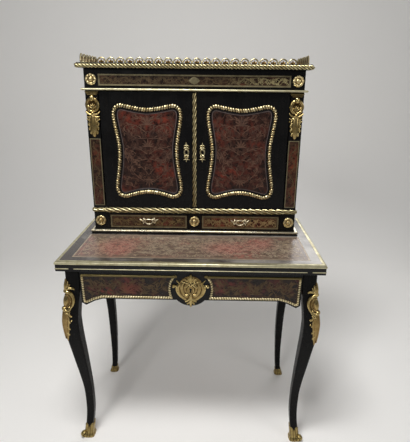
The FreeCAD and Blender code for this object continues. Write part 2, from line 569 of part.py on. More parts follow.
for side in (-1, 1):
    ends = sorted((HANDLE_X + side * (BAIL_HALF - 1), HANDLE_X + side * pin_end))
    bail_pieces.append(crossbar(BAIL_PIN, ends[0], ends[1], BAIL_Y, HANDLE_Z))
    bail_pieces.append(Part.makeSphere(BAIL_WIRE, Vector(HANDLE_X + side * BAIL_HALF, BAIL_Y, HANDLE_Z)))
bail = largest(bail.fuse(bail_pieces).removeSplitter())
for name, turn in (("right", lambda shape: shape), ("left", mirrored)):
    save("small_drawer_" + name + "_front", turn(small_front))
    save("small_drawer_" + name + "_box", *[turn(piece) for piece in small_box])
    save("small_drawer_" + name + "_handle", *[turn(piece) for piece in handle])
    save("small_drawer_" + name + "_bail", turn(bail))
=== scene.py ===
import math
import bmesh
import bpy
import numpy as np
from mathutils import Matrix, Vector


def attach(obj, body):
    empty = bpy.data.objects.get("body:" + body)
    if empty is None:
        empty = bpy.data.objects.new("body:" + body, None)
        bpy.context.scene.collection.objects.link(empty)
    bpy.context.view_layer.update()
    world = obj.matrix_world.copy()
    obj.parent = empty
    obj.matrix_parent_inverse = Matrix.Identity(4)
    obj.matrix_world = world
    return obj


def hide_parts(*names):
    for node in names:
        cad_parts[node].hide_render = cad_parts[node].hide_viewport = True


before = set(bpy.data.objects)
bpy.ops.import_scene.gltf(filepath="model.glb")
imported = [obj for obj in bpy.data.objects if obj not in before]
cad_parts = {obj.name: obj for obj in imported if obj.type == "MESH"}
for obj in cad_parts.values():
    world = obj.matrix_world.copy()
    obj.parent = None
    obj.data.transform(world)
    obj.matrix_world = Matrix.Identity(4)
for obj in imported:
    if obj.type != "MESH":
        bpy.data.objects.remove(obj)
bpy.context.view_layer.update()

# Bonheur du jour in ebonised wood with tortoiseshell and brass marquetry and gilt mounts.
# Sizes are in millimetres in the frame of the solids: front towards -Y, floor at Z 0.

TABLE_BACK = 240.0
STRIP_HALF = 420.0
STRIP_FRONT = -227.0
TABLE_TOP = 738.0
# Depth, foot and head of the line under the edge; half width, front and back of the marquetry
EDGE_LINE = (-237.0, 711.5, 715.0)
TOP_PANEL = (388.0, -201.0, 8.0)
LEG_X = 389.5
LEG_Y = 189.0
REAR_LEG_Y = 180.0
LEG_STEP = 7.0
# Height, swing outward and width of each section
FRONT_LEG = [
    (6.0, 0.0, 28.0), (50.0, -5.0, 26.5), (92.0, -9.5, 27.0), (136.0, -11.5, 27.5), (206.0, -10.5, 28.5),
    (273.0, -5.5, 33.0), (325.0, -0.5, 37.5), (382.0, 5.0, 42.0), (438.0, 10.5, 46.0), (487.0, 13.5, 48.0),
    (520.0, 13.5, 48.0), (574.0, 8.0, 47.5), (620.0, 2.5, 47.0), (660.0, 0.0, 47.0), (704.0, 0.0, 47.0),
]
REAR_LEG = [
    (6.0, -8.0, 22.0), (55.0, -15.0, 22.0), (136.0, -19.5, 24.0), (216.0, -21.0, 28.0), (293.0, -20.0, 30.5),
    (359.0, -16.5, 33.0), (450.0, -7.5, 39.0), (520.0, -1.5, 43.0), (600.0, 0.5, 46.0), (704.0, 0.0, 46.0),
]
DRAWER_FACE = -211.5
KEYHOLE_Z = 632.0
# Across and up: the outline of the drawer's right panel
DRAWER_PANEL = [
    (361.5, 682.0), (359.0, 582.0), (351.0, 576.0), (338.0, 582.0), (321.0, 590.0), (295.0, 598.0),
    (60.0, 598.0), (65.5, 616.0), (67.5, 634.0), (64.0, 656.0), (54.0, 674.0), (44.0, 682.0),
]
FACE = 30.5
BACK = 224.5
BODY_HALF = 375.0
PILASTER_X = 352.0
PLINTH_HALF = 378.0
PLINTH_FRONT = 27.5
CORNICE_HALF = 392.5
CORNICE_FRONT = 13.5
CORNICE_ROPE_Z = 1335.8
CORNICE_TOP = 1345.0
WAIST_Z = 829.0
WAIST_HALF = 331.0
# Half width, foot and head, and the widths of rail and stile
HEAD_PLAQUE = (327.0, 1271.5, 1309.5, 5.0, 5.5)
STRIP_Z = (846.0, 1092.0)
ROSETTES = [(-352.0, 1292.0), (352.0, 1292.0), (-352.0, 787.0), (0.0, 787.0), (352.0, 787.0)]
DOOR_X = 165.0
DOOR_Z = 1044.5
# Across and up from the middle of a door: the right half of its border
BORDER_LINE = [
    (0.0, 155.5), (30.0, 158.5), (55.0, 163.0), (76.0, 167.5), (94.0, 169.5), (111.0, 162.5), (121.5, 148.5),
    (124.5, 127.0), (121.0, 97.0), (115.0, 61.0), (110.0, 26.0), (109.5, -10.0), (112.0, -41.0),
    (117.5, -80.0), (122.5, -110.0), (124.0, -136.0), (116.0, -157.0), (104.0, -165.5), (86.0, -169.5),
    (56.0, -161.5), (27.0, -154.5), (0.0, -152.0),
]
KEYHOLE_PLATE = (28.5, 1047.0)
SMALL_DRAWER = (28.0, 316.0, 759.0, 809.5)
SMALL_FACE = 31.5
HANDLE = (170.5, 795.0)
BAIL_Y = 23.5
GALLERY_Y = 219.5
INLAY_PROUD = 0.15
INLAY_STEP = 0.004
TO_FRONT = (0, -1, 0)
BOTH_HANDS = ((1, 1, 1), (-1, 1, 1))
EBONY, GILT, INLAY = "ebonised_wood", "gilt_bronze", "tortoiseshell_marquetry"


# Finishes

def tone(code):
    """Linear colour of an sRGB hex value."""
    parts = [int(code[i:i + 2], 16) / 255 for i in (0, 2, 4)]
    return [p / 12.92 if p <= 0.04045 else ((p + 0.055) / 1.055) ** 2.4 for p in parts] + [1.0]


def put(tree, kind, sockets=(), output=None, **settings):
    """Adds a node, gives each socket a value or another node's output, and hands back the output in use."""
    made = tree.nodes.new("ShaderNode" + kind)
    for key, value in settings.items():
        setattr(made, key, value)
    for key, value in dict(sockets).items():
        if isinstance(value, bpy.types.NodeSocket):
            tree.links.new(value, made.inputs[key])
        else:
            made.inputs[key].default_value = value
    if output is not None:
        return made.outputs[output]
    return next((socket for socket in made.outputs if socket.enabled), None)


def new_finish(name):
    """An empty finish, its nodes, and the place on the object in metres."""
    finish = bpy.data.materials.new(name)
    finish.use_nodes = True
    finish.node_tree.nodes.clear()
    return finish, finish.node_tree, put(finish.node_tree, "TexCoord", output="Object")


def surfaced(finish, colour, gloss, relief=None, **same_all_over):
    """The finish with its shader; what is the same all over is named with _ for a space."""
    sockets = {"Base Color": colour, "Roughness": gloss}
    if relief is not None:
        sockets["Normal"] = relief
    sockets.update({name.replace("_", " "): value for name, value in same_all_over.items()})
    shader = put(finish.node_tree, "BsdfPrincipled", sockets)
    put(finish.node_tree, "OutputMaterial", {"Surface": shader})
    return finish


def nearness(tree, spot, place, reach):
    """One at a place on the object, falling to nothing at its reach; both in metres."""
    sockets = {"Vector": spot, "Location": place, "Scale": reach}
    round_it = put(tree, "Mapping", sockets, vector_type="TEXTURE")
    return put(tree, "TexGradient", {"Vector": round_it}, 1, gradient_type="SPHERICAL")


def ebonised_wood(name, grain, shine):
    """Fruitwood stained black and French polished: near black, a brown breath in the grain, soft swirls of
    polishing."""
    finish, tree, spot = new_finish(name)
    # Pores about 1.2 mm wide and 70 mm long, polishing marks about 45 mm
    pore_scale = [1 / (0.07 if axis == grain else 0.0012) for axis in "XYZ"]
    stretched = put(tree, "Mapping", {"Vector": spot, "Scale": pore_scale})
    pores = put(tree, "TexNoise", {"Vector": stretched, "Scale": 1.0, "Detail": 3.0})
    rubbing = put(tree, "TexNoise", {"Vector": spot, "Scale": 1 / 0.045, "Detail": 4.0, "Roughness": 0.6})
    brown = put(tree, "MapRange", {"Value": pores, "From Min": 0.48, "From Max": 0.75})
    colour = put(tree, "Mix", {0: brown, 6: tone("080808"), 7: tone("15110F")}, data_type="RGBA")
    gloss = put(tree, "MapRange", {"Value": rubbing, "From Min": 0.3, "From Max": 0.75, "To Min": 0.2,
                                   "To Max": 0.36})
    relief = put(tree, "Bump", {"Height": pores, "Strength": 0.25, "Distance": 0.00008})
    return surfaced(finish, colour, gloss, relief, IOR=1.45, Specular_IOR_Level=shine, Coat_Weight=0.04,
                    Coat_Roughness=0.12)


def painted_haze_top(name):
    """Ebonised board: black edges, and on its upper face a hazy grey-brown that is painted reflection,
    lighter towards the right as a painted window reflection.
    """
    finish, tree, spot = new_finish(name)
    # Painted reflection haze in clouds of about 90 mm, old wipe marks about 6 by 80 mm along X
    clouds = put(tree, "TexNoise", {"Vector": spot, "Scale": 1 / 0.09, "Detail": 4.0, "Roughness": 0.55})
    wiped = put(tree, "Mapping", {"Vector": spot, "Scale": (1 / 0.08, 1 / 0.006, 1 / 0.006)})
    wipes = put(tree, "TexNoise", {"Vector": wiped, "Scale": 1.0, "Detail": 3.0})
    facing = put(tree, "SeparateXYZ", {0: put(tree, "NewGeometry", output="Normal")}, "Z")
    upward = put(tree, "MapRange", {"Value": facing, "From Min": 0.75, "From Max": 0.98})
    # Lighter towards the right: a painted reflection of a window
    to_the_right = put(tree, "SeparateXYZ", {0: spot}, "X")
    window_reflection = put(tree, "MapRange", {"Value": to_the_right, "From Min": -0.1, "From Max": 0.45,
                                      "To Min": -0.14, "To Max": 0.2})
    haze = put(tree, "Math", {0: clouds, 1: window_reflection}, operation="ADD")
    hazy = put(tree, "MapRange", {"Value": haze, "From Min": 0.35, "From Max": 0.8})
    # The grey-brown on the upper face is painted reflection haze
    reflection_haze = put(tree, "Mix", {0: hazy, 6: tone("3C3633"), 7: tone("928C85")}, data_type="RGBA")
    streaked = put(tree, "Mix", {0: 0.25, 6: reflection_haze, 7: wipes}, data_type="RGBA", blend_type="OVERLAY")
    colour = put(tree, "Mix", {0: upward, 6: tone("0B0A0A"), 7: streaked}, data_type="RGBA")
    gloss = put(tree, "MapRange", {"Value": upward, "To Min": 0.28, "To Max": 0.24})
    relief = put(tree, "Bump", {"Height": wipes, "Strength": 0.15, "Distance": 0.0001})
    return surfaced(finish, colour, gloss, relief, IOR=1.45, Specular_IOR_Level=0.35)


def gilt_bronze(name, bright, worn, brown, shade, shine):
    """Cast bronze, chased and gilded: pale gold on the high places, gilding rubbed brown on the flats, and
    black-brown patina left in the hollows; the same hollow value also carries painted shade where a piece
    sets it."""
    finish, tree, spot = new_finish(name)
    # Wear in patches of about 14 mm, casting grain of about 0.9 mm
    wear = put(tree, "TexNoise", {"Vector": spot, "Scale": 1 / 0.014, "Detail": 4.0, "Roughness": 0.65})
    grain = put(tree, "TexNoise", {"Vector": spot, "Scale": 1 / 0.0009, "Detail": 2.0})
    hollow = put(tree, "Attribute", output="Fac", attribute_name="hollow")
    rubbed = put(tree, "MapRange", {"Value": wear, "From Min": 0.35, "From Max": 0.68})
    gold = put(tree, "Mix", {0: rubbed, 6: tone(bright), 7: tone(worn)}, data_type="RGBA")
    sunk = put(tree, "MapRange", {"Value": hollow, "From Min": 0.04, "From Max": 0.42})
    deep = put(tree, "MapRange", {"Value": hollow, "From Min": 0.4, "From Max": 1.0})
    rubbed_brown = put(tree, "Mix", {0: sunk, 6: gold, 7: tone(brown)}, data_type="RGBA")
    colour = put(tree, "Mix", {0: deep, 6: rubbed_brown, 7: tone(shade)}, data_type="RGBA")
    dulled = put(tree, "Math", {0: hollow, 1: rubbed}, operation="MAXIMUM")
    gloss = put(tree, "MapRange", {"Value": dulled, "To Min": shine, "To Max": shine + 0.16})
    relief = put(tree, "Bump", {"Height": grain, "Strength": 0.08, "Distance": 0.0001})
    return surfaced(finish, colour, gloss, relief, Metallic=1.0)


def rolled_brass(name, clean, tarnish, metal, polish, stain=None, places=()):
    """Flat rolled brass: pale straw yellow, dulled to brown grey in spots, with fine rubbing scratches; round
    the given places it takes the colour of the stain."""
    finish, tree, spot = new_finish(name)
    # Tarnish spots about 18 mm, scratches about 1 mm drawn as coarse as 1.5 mm to show
    spots = put(tree, "TexNoise", {"Vector": spot, "Scale": 1 / 0.018, "Detail": 5.0, "Roughness": 0.6})
    scratches = put(tree, "TexNoise", {"Vector": spot, "Scale": 1 / 0.0015, "Detail": 2.0})
    aged = put(tree, "MapRange", {"Value": spots, "From Min": 0.4, "From Max": 0.7})
    colour = put(tree, "Mix", {0: aged, 6: tone(clean), 7: tone(tarnish)}, data_type="RGBA")
    for place, reach in places:
        share = put(tree, "MapRange", {"Value": nearness(tree, spot, place, reach), "From Max": 0.7})
        colour = put(tree, "Mix", {0: share, 6: colour, 7: tone(stain)}, data_type="RGBA")
    gloss = put(tree, "MapRange", {"Value": aged, "To Min": polish, "To Max": polish + 0.15})
    relief = put(tree, "Bump", {"Height": scratches, "Strength": 0.15, "Distance": 0.0001})
    return surfaced(finish, colour, gloss, relief, Metallic=metal)


def tortoiseshell(name, cloud, ground, red, gloss_low, patch, clear=()):
    """Turtle shell over red ground, polished: dark brown clouds and flecks with clear red patches between
    them, most of all round the clear places."""
    finish, tree, spot = new_finish(name)
    # Red patches of 70 mm or more, clouds about 16 mm, dark flecks about 5 mm
    placed = put(tree, "Mapping", {"Vector": spot, "Location": (0.031, 0.0, 0.017)})
    redness = put(tree, "TexNoise", {"Vector": placed, "Scale": 1 / patch, "Detail": 2.0, "Distortion": 0.4})
    clouds = put(tree, "TexNoise", {"Vector": spot, "Scale": 1 / 0.016, "Detail": 5.0, "Roughness": 0.65})
    flecks = put(tree, "TexVoronoi", {"Vector": spot, "Scale": 1 / 0.005, "Randomness": 1.0})
    for place, reach in clear:
        bright = nearness(tree, spot, place, reach)
        redness = put(tree, "Math", {0: bright, 1: 0.34, 2: redness}, operation="MULTIPLY_ADD")
    reddish = put(tree, "MapRange", {"Value": redness, "From Min": 0.5, "From Max": 0.74})
    cloudy = put(tree, "MapRange", {"Value": clouds, "From Min": 0.36, "From Max": 0.66})
    speck = put(tree, "MapRange", {"Value": flecks, "From Min": 0.1, "From Max": 0.5,
                                   "To Min": 0.62, "To Max": 1.0})
    shell = put(tree, "Mix", {0: reddish, 6: tone(ground), 7: tone(red)}, data_type="RGBA")
    dark = put(tree, "Mix", {0: cloudy, 6: tone(cloud), 7: shell}, data_type="RGBA")
    colour = put(tree, "Mix", {0: 1.0, 6: dark, 7: speck}, data_type="RGBA", blend_type="MULTIPLY")
    gloss = put(tree, "MapRange", {"Value": clouds, "To Min": gloss_low, "To Max": gloss_low + 0.12})
    relief = put(tree, "Bump", {"Height": clouds, "Strength": 0.12, "Distance": 0.0003})
    return surfaced(finish, colour, gloss, relief, IOR=1.5, Specular_IOR_Level=0.28, Coat_Weight=0.08,
                    Coat_Roughness=0.15)


def oak_lining(name):
    """Plain sawn oak, waxed and browned by age: straight grain with dark pores and pale rays."""
    finish, tree, spot = new_finish(name)
    # Growth bands about 6 by 300 mm, pores about 0.8 by 25 mm, both along X
    bands = put(tree, "Mapping", {"Vector": spot, "Scale": (1 / 0.3, 1 / 0.006, 1 / 0.006)})
    growth = put(tree, "TexNoise", {"Vector": bands, "Scale": 1.0, "Detail": 3.0})
    fine = put(tree, "Mapping", {"Vector": spot, "Scale": (1 / 0.025, 1 / 0.0008, 1 / 0.0008)})
    pores = put(tree, "TexNoise", {"Vector": fine, "Scale": 1.0, "Detail": 2.0})
    wood = put(tree, "Mix", {0: growth, 6: tone("6B4A2B"), 7: tone("9C7346")}, data_type="RGBA")
    open_pore = put(tree, "MapRange", {"Value": pores, "From Min": 0.58, "From Max": 0.72})
    colour = put(tree, "Mix", {0: open_pore, 6: wood, 7: tone("3E2917")}, data_type="RGBA")
    gloss = put(tree, "MapRange", {"Value": growth, "To Min": 0.5, "To Max": 0.68})
    relief = put(tree, "Bump", {"Height": pores, "Strength": 0.3, "Distance": 0.0002})
    return surfaced(finish, colour, gloss, relief, IOR=1.5)


def lock_iron(name):
    """Filed iron, browned: dark grey metal with rust-brown clouds."""
    finish, tree, spot = new_finish(name)
    # Rust clouds about 8 mm
    rust = put(tree, "TexNoise", {"Vector": spot, "Scale": 1 / 0.008, "Detail": 4.0})
    colour = put(tree, "Mix", {0: rust, 6: tone("6A6763"), 7: tone("4A3A2E")}, data_type="RGBA")
    gloss = put(tree, "MapRange", {"Value": rust, "To Min": 0.35, "To Max": 0.6})
    return surfaced(finish, colour, gloss, Metallic=1.0)


def pale_paint(name):
    """Matt wall paint, rolled on: an even warm white."""
    finish, tree, spot = new_finish(name)
    # Roller texture about 3 mm, drawn at 6 mm
    stipple = put(tree, "TexNoise", {"Vector": spot, "Scale": 1 / 0.006})
    colour = put(tree, "Mix", {0: stipple, 6: tone("EDEBE7"), 7: tone("F1EFEC")}, data_type="RGBA")
    return surfaced(finish, colour, 0.9)


upright_ebony = ebonised_wood("ebonised_wood_upright", "Z", 0.25)
leg_ebony = ebonised_wood("ebonised_wood_legs", "Z", 0.1)
long_ebony = ebonised_wood("ebonised_wood_lengthwise", "X", 0.25)
deep_ebony = ebonised_wood("ebonised_wood_fore_and_aft", "Y", 0.25)
table_ebony = painted_haze_top("ebonised_wood_painted_haze_top")
mount_gilt = gilt_bronze("gilt_bronze_mounts", "CFBA82", "9E8853", "7E633C", "180F09", 0.2)
boss_gilt = gilt_bronze("gilt_bronze_burnished", "F1DFAC", "CDB37A", "94794A", "3A2A18", 0.28)
meeting_gilt = gilt_bronze("gilt_bronze_meeting_rope", "C9BB90", "998A62", "705C3A", "2A2216", 0.3)
# The sabots take a darker copy of the gilt: painted shade near the floor
shaded_foot_gilt = gilt_bronze("gilt_bronze_sabots_painted_shade", "B09C66", "857248", "644F2F", "1A110A", 0.28)
# The pilaster caps take a darker copy of the gilt: the painted shadow of the head line
shadowed_cap_gilt = gilt_bronze("gilt_bronze_painted_shadow", "71623E", "4C412A", "3E2F1C", "1C130B", 0.34)
pale_gilt = gilt_bronze("gilt_bronze_rubbed_pale", "F6EDD2", "D8C9A6", "9C8358", "241A10", 0.28)
rope_gilt = gilt_bronze("gilt_bronze_ropes", "DFD3A6", "8F8058", "605439", "130D07", 0.26)
frieze_gilt = gilt_bronze("gilt_bronze_frieze_moulding", "F0E2B8", "CBB789", "786B46", "1A140C", 0.28)
border_gilt = gilt_bronze("gilt_bronze_door_borders", "D9CDA4", "9E8D62", "7A6038", "160E08", 0.24)
line_brass = rolled_brass("rolled_brass_mouldings", "EEE6CC", "C6B994", 1.0, 0.26)
edge_brass = rolled_brass("rolled_brass_table_edge", "CBC4A3", "A99F7B", 0.85, 0.34)
frame_brass = rolled_brass("dull_brass_frames", "80765A", "60573E", 0.6, 0.45)
inlay_brass = rolled_brass("engraved_brass_inlay", "5C4931", "403221", 0.5, 0.42,
                           "6E3C2F", [((-0.198, -0.21, 0.632), (0.042, 0.1, 0.028))])
head_inlay_brass = rolled_brass("engraved_brass_inlay_rubbed_end", "5A482F", "3E3120", 0.5, 0.42,
                                "968A62", [((0.34, 0.03, 1.29), (0.23, 0.2, 0.2))])
bright_inlay_brass = rolled_brass("engraved_brass_inlay_clean", "76623F", "52422B", 0.5, 0.42,
                                  "99835A", [((0.25, 0.03, 0.785), (0.26, 0.2, 0.2))])
door_inlay_brass = rolled_brass("engraved_brass_inlay_reddened", "573B2E", "36231D", 0.5, 0.42)
door_scroll_brass = rolled_brass("engraved_brass_scrolls_reddened", "694C3D", "432F27", 0.5, 0.42)
door_line_brass = rolled_brass("engraved_brass_line_mauve", "5F5350", "453B39", 0.5, 0.42)
# Places where the red shows: middle and reach in metres
TOP_RED = [((-0.265, -0.11, 0.74), (0.09, 0.11, 0.1)), ((-0.25, -0.12, 0.74), (0.06, 0.08, 0.1)),
           ((0.24, -0.07, 0.74), (0.07, 0.08, 0.1)), ((0.12, -0.11, 0.74), (0.12, 0.08, 0.1))]
DOOR_RED = [((-0.225, 0.03, 1.15), (0.055, 0.1, 0.06)), ((-0.165, 0.03, 1.165), (0.04, 0.1, 0.045)),
            ((-0.105, 0.03, 1.145), (0.05, 0.1, 0.065)), ((-0.11, 0.03, 0.965), (0.05, 0.1, 0.06)),
            ((0.115, 0.03, 0.95), (0.05, 0.1, 0.05))]
SMALL_DRAWER_RED = [((0.11, 0.03, 0.78), (0.08, 0.1, 0.05)), ((0.25, 0.03, 0.785), (0.08, 0.1, 0.05))]
FRIEZE_RED = [((-0.198, -0.21, 0.632), (0.045, 0.1, 0.03)), ((-0.198, -0.21, 0.632), (0.03, 0.1, 0.022)),
              ((-0.29, -0.21, 0.625), (0.05, 0.1, 0.025)), ((0.19, -0.21, 0.632), (0.05, 0.1, 0.03)),
              ((0.1, -0.21, 0.645), (0.04, 0.1, 0.03))]
PILASTER_RED = [((0.352, 0.03, 0.92), (0.06, 0.1, 0.1)), ((0.352, 0.03, 1.03), (0.06, 0.1, 0.06)),
                ((-0.352, 0.03, 1.03), (0.06, 0.1, 0.06))]
# The top's brass is worn, and is also drawn paler as painted reflection haze
top_inlay_brass = rolled_brass("engraved_brass_inlay_worn_top_painted_haze", "A59580", "887865", 0.3, 0.36,
                               "AE8475", TOP_RED)
shell = tortoiseshell("red_tortoiseshell", "150C09", "331D16", "6C2E20", 0.22, 0.09, DOOR_RED)
brown_shell = tortoiseshell("brown_tortoiseshell", "1A110B", "3A281A", "563222", 0.22, 0.07)
drawer_shell = tortoiseshell("brown_tortoiseshell_small_drawers", "1E130D", "482D1F", "6E3626", 0.22, 0.07,
                             SMALL_DRAWER_RED)
frieze_shell = tortoiseshell("brown_tortoiseshell_frieze", "130C09", "2C1D15", "74322A", 0.22, 0.07,
                             FRIEZE_RED)
strip_shell = tortoiseshell("brown_tortoiseshell_pilasters", "1A110B", "3E281B", "62311F", 0.22, 0.07,
                            PILASTER_RED)
# The top's shell is a paler copy of the others: painted reflection haze lies over it
top_shell = tortoiseshell("red_tortoiseshell_top_painted_haze", "4E4037", "745E52", "9C5F54", 0.24, 0.12, TOP_RED)
oak = oak_lining("oak_lining")
iron = lock_iron("browned_iron")


# Shaping: a form is its points in millimetres, its faces, and how hollow each point lies, a value that on
# some pieces also holds painted shade

def joined(*forms):
    """Several forms as one."""
    points, faces, hollows, start = [], [], [], 0
    for own_points, own_faces, own_hollow in forms:
        points.append(own_points)
        hollows.append(own_hollow)
        faces.extend([tuple(start + i for i in face) for face in own_faces])
        start += len(own_points)
    return np.concatenate(points), faces, np.concatenate(hollows)


def mirrored(form):
    points, faces, hollow = form
    return points * (-1, 1, 1), [face[::-1] for face in faces], hollow


def on_side(form, side):
    """The form as it is on the right, or its mirror image on the left."""
    return form if side == 1 else mirrored(form)


def moved(form, x, y, z):
    points, faces, hollow = form
    return points + (x, y, z), faces, hollow


def piece(name, form, finish, body, slot, *stands_for, crease=35):
    """A form as an object that rides on a body and stands for the named solids."""
    points, faces, hollow = form
    mesh = bpy.data.meshes.new(name)
    mesh.from_pydata((np.asarray(points) / 1000).tolist(), [], faces)
    mesh.attributes.new("hollow", "FLOAT", "POINT").data.foreach_set("value", np.asarray(hollow, np.float32))
    mesh.materials.append(finish)
    mesh.polygons.foreach_set("use_smooth", [True] * len(mesh.polygons))
    mesh.set_sharp_from_angle(angle=math.radians(crease))
    made = bpy.data.objects.new(name, mesh)
    bpy.context.collection.objects.link(made)
    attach(made, body)
    if stands_for:
        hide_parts(*stands_for)
    return made


def grid(places, out=None, loop=False, hollow=None):
    """Faces over a net of points, rows by columns by three, turned to face the way out."""
    rows, columns = places.shape[:2]
    index = np.arange(rows * columns).reshape(rows, columns)
    if loop:
        index = np.vstack([index, index[:1]])
    quads = np.stack([index[:-1, :-1], index[:-1, 1:], index[1:, 1:], index[1:, :-1]], -1).reshape(-1, 4)
    points = places.reshape(-1, 3)
    if out is not None:
        a, b, c = (points[quads[len(quads) // 2, k]] for k in (0, 1, 2))
        if np.dot(np.cross(b - a, c - a), out) < 0:
            quads = quads[:, ::-1]
    depth = np.zeros(len(points)) if hollow is None else np.asarray(hollow).reshape(-1)
    return points, [tuple(q) for q in quads.tolist()], depth


def smooth_line(knots, step, loop=False):
    """Rows along a smooth curve through the knots, about one step apart."""
    knots = np.asarray(knots, float)
    count = len(knots)
    rows = []
    for i in range(count if loop else count - 1):
        before, start, end, after = (knots[(i + k) % count] if loop else knots[min(max(i + k, 0), count - 1)]
                                     for k in (-1, 0, 1, 2))
        parts = max(2, int(math.ceil(np.linalg.norm((end - start)[:2]) / step)))
        t = np.linspace(0, 1, parts, endpoint=False)[:, None]
        rows.append(0.5 * (2 * start + (end - before) * t
                           + (2 * before - 5 * start + 4 * end - after) * t ** 2
                           + (3 * start - before - 3 * end + after) * t ** 3))
    if not loop:
        rows.append(knots[-1:])
    return np.concatenate(rows)


def evenly(line, step, loop=False):
    """The same line in equal steps."""
    line = np.vstack([line, line[:1]]) if loop else line
    run = np.concatenate([[0], np.cumsum(np.linalg.norm(np.diff(line, axis=0), axis=1))])
    count = max(2, int(round(run[-1] / step)) + 1)
    stops = np.linspace(0, run[-1], count)
    spaced = np.column_stack([np.interp(stops, run, line[:, k]) for k in range(line.shape[1])])
    return spaced[:-1] if loop else spaced


def both_halves(line):
    """A right half and its mirror image as one closed line."""
    return list(line) + [(-x, z) for x, z in reversed(line) if x > 0]


def upright(line, y, x=0.0, z=0.0):
    """A flat line of across and up, stood upright at a depth."""
    return np.column_stack([line[:, 0] + x, np.full(len(line), y), line[:, 1] + z])


def rectangle(x0, x1, z0, z1):
    return np.array([(x0, z0), (x1, z0), (x1, z1), (x0, z1)])


def along(path, loop):
    """Direction and distance at each point of a path."""
    ahead = np.roll(path, -1, 0) - np.roll(path, 1, 0)
    if not loop:
        ahead = np.gradient(path, axis=0)
    run = np.concatenate([[0], np.cumsum(np.linalg.norm(np.diff(path, axis=0), axis=1))])
    return ahead / np.linalg.norm(ahead, axis=1)[:, None], run


def rope(path, outs, radius, strands, lay, depth=0.4, slant=1.0, squash=1.0, sink=25, sides=31, loop=False):
    """Half-round moulding of strands side by side; a slant of one twists them, less lays them across as
    ribs."""
    path = np.asarray(path, float)
    ahead, run = along(path, loop)
    if loop:
        length = run[-1] + np.linalg.norm(path[-1] - path[0])
        lay = length / round(strands * length / lay) * strands
    outs = np.broadcast_to(np.asarray(outs, float), path.shape)
    outs = outs - (outs * ahead).sum(1)[:, None] * ahead
    outs = outs / np.linalg.norm(outs, axis=1)[:, None]
    aside = np.cross(ahead, outs)
    turn = np.radians(np.linspace(-sink, 180 + sink, sides))
    depth = np.broadcast_to(np.asarray(depth, float), len(path))[:, None]
    lobe = np.abs(np.cos(strands / 2 * (slant * turn[None, :] + 2 * math.pi * run[:, None] / lay)))
    size = radius * (1 - depth * (1 - lobe))
    places = (path[:, None, :] + (size * np.cos(turn))[..., None] * aside[:, None, :]
              + (size * np.sin(turn) * squash)[..., None] * outs[:, None, :])
    middle = len(path) // 2
    return grid(places, outs[middle], loop, np.clip(1.25 - 2.1 * lobe, 0, 1) * np.clip(depth / 0.3, 0, 1))


def rod(path, radii, flat=1.0, sides=10, aside=(0, 1, 0)):
    """Round or oval rod along a path, closed at its ends."""
    path = np.asarray(path, float)
    ahead, _ = along(path, False)
    radii = np.broadcast_to(np.asarray(radii, float), len(path)).copy()
    aside = np.asarray(aside, float) - (ahead @ np.asarray(aside, float))[:, None] * ahead
    aside = aside / np.linalg.norm(aside, axis=1)[:, None]
    up = np.cross(ahead, aside)
    turn = np.linspace(0, 2 * math.pi, sides, endpoint=False)
    spokes = np.cos(turn)[:, None, None] * aside * flat + np.sin(turn)[:, None, None] * up
    places = path + spokes * radii[:, None]
    middle = len(path) // 2
    outward = spokes[sides // 2, middle] + spokes[(sides // 2 + 1) % sides, middle]
    points, faces, hollow = grid(places, outward, loop=True)
    ring = [k * len(path) for k in range(sides)]
    ends = [tuple(ring[::-1]), tuple(k + len(path) - 1 for k in ring)]
    return points, faces + ends, hollow


def block(x0, x1, y0, y1, z0, z1, bevel=0.4):
    """A board or bar with small bevels along its edges."""
    solid = bmesh.new()
    middle = Matrix.Translation(((x0 + x1) / 2, (y0 + y1) / 2, (z0 + z1) / 2))
    size = Matrix.Diagonal((x1 - x0, y1 - y0, z1 - z0, 1.0))
    bmesh.ops.create_cube(solid, size=1.0, matrix=middle @ size)
    bmesh.ops.bevel(solid, geom=list(solid.edges), offset=bevel, segments=1, affect="EDGES")
    solid.verts.index_update()
    points = np.array([tuple(corner.co) for corner in solid.verts])
    faces = [tuple(corner.index for corner in side.verts) for side in solid.faces]
    solid.free()
    return points, faces, np.zeros(len(points))


def mitred_moulding(profile, half, front, back):
    """A moulding round the front and both sides; the profile runs as reach and height, and closes on the
    wood."""
    rows = []
    for x, y, out_x, out_y in ((-half, back, -1, 0), (-half, front, -1, -1), (half, front, 1, -1),
                               (half, back, 1, 0)):
        rows.append([(x + out_x * reach, y + out_y * reach, z) for reach, z in profile])
    points, faces, hollow = grid(np.array(rows), TO_FRONT)
    side = len(profile)
    ends = [tuple(range(side)), tuple(range(3 * side, 4 * side))]
    for k, end in enumerate(ends):
        a, b, c = points[[end[0], end[side // 2], end[-1]]]
        if np.cross(b - a, c - b)[1] < 0:
            ends[k] = end[::-1]
    return points, faces + ends, hollow


# Casting: a relief is the highest of many rows of half balls

def cast(knots, lift=0.0, flat=1.0, step=0.8, brown=0.0):
    """A row of half balls along a curve; each knot is across, up and radius, and brown is how far its gilding
    is rubbed."""
    line = smooth_line(knots, step)
    return np.column_stack([line, np.tile((lift, flat, brown), (len(line), 1))])


def both_sides(*strokes):
    """Each row of half balls, followed by its mirror image."""
    return [side for stroke in strokes for side in (stroke, stroke * (-1, 1, 1, 1, 1, 1))]


def half_oval(x, z, wide, high, radius, first=90, last=-90):
    """Knots along the right half of an oval ring."""
    return [(x + wide * math.cos(a), z + high * math.sin(a), radius)
            for a in np.radians(np.linspace(first, last, 9))]


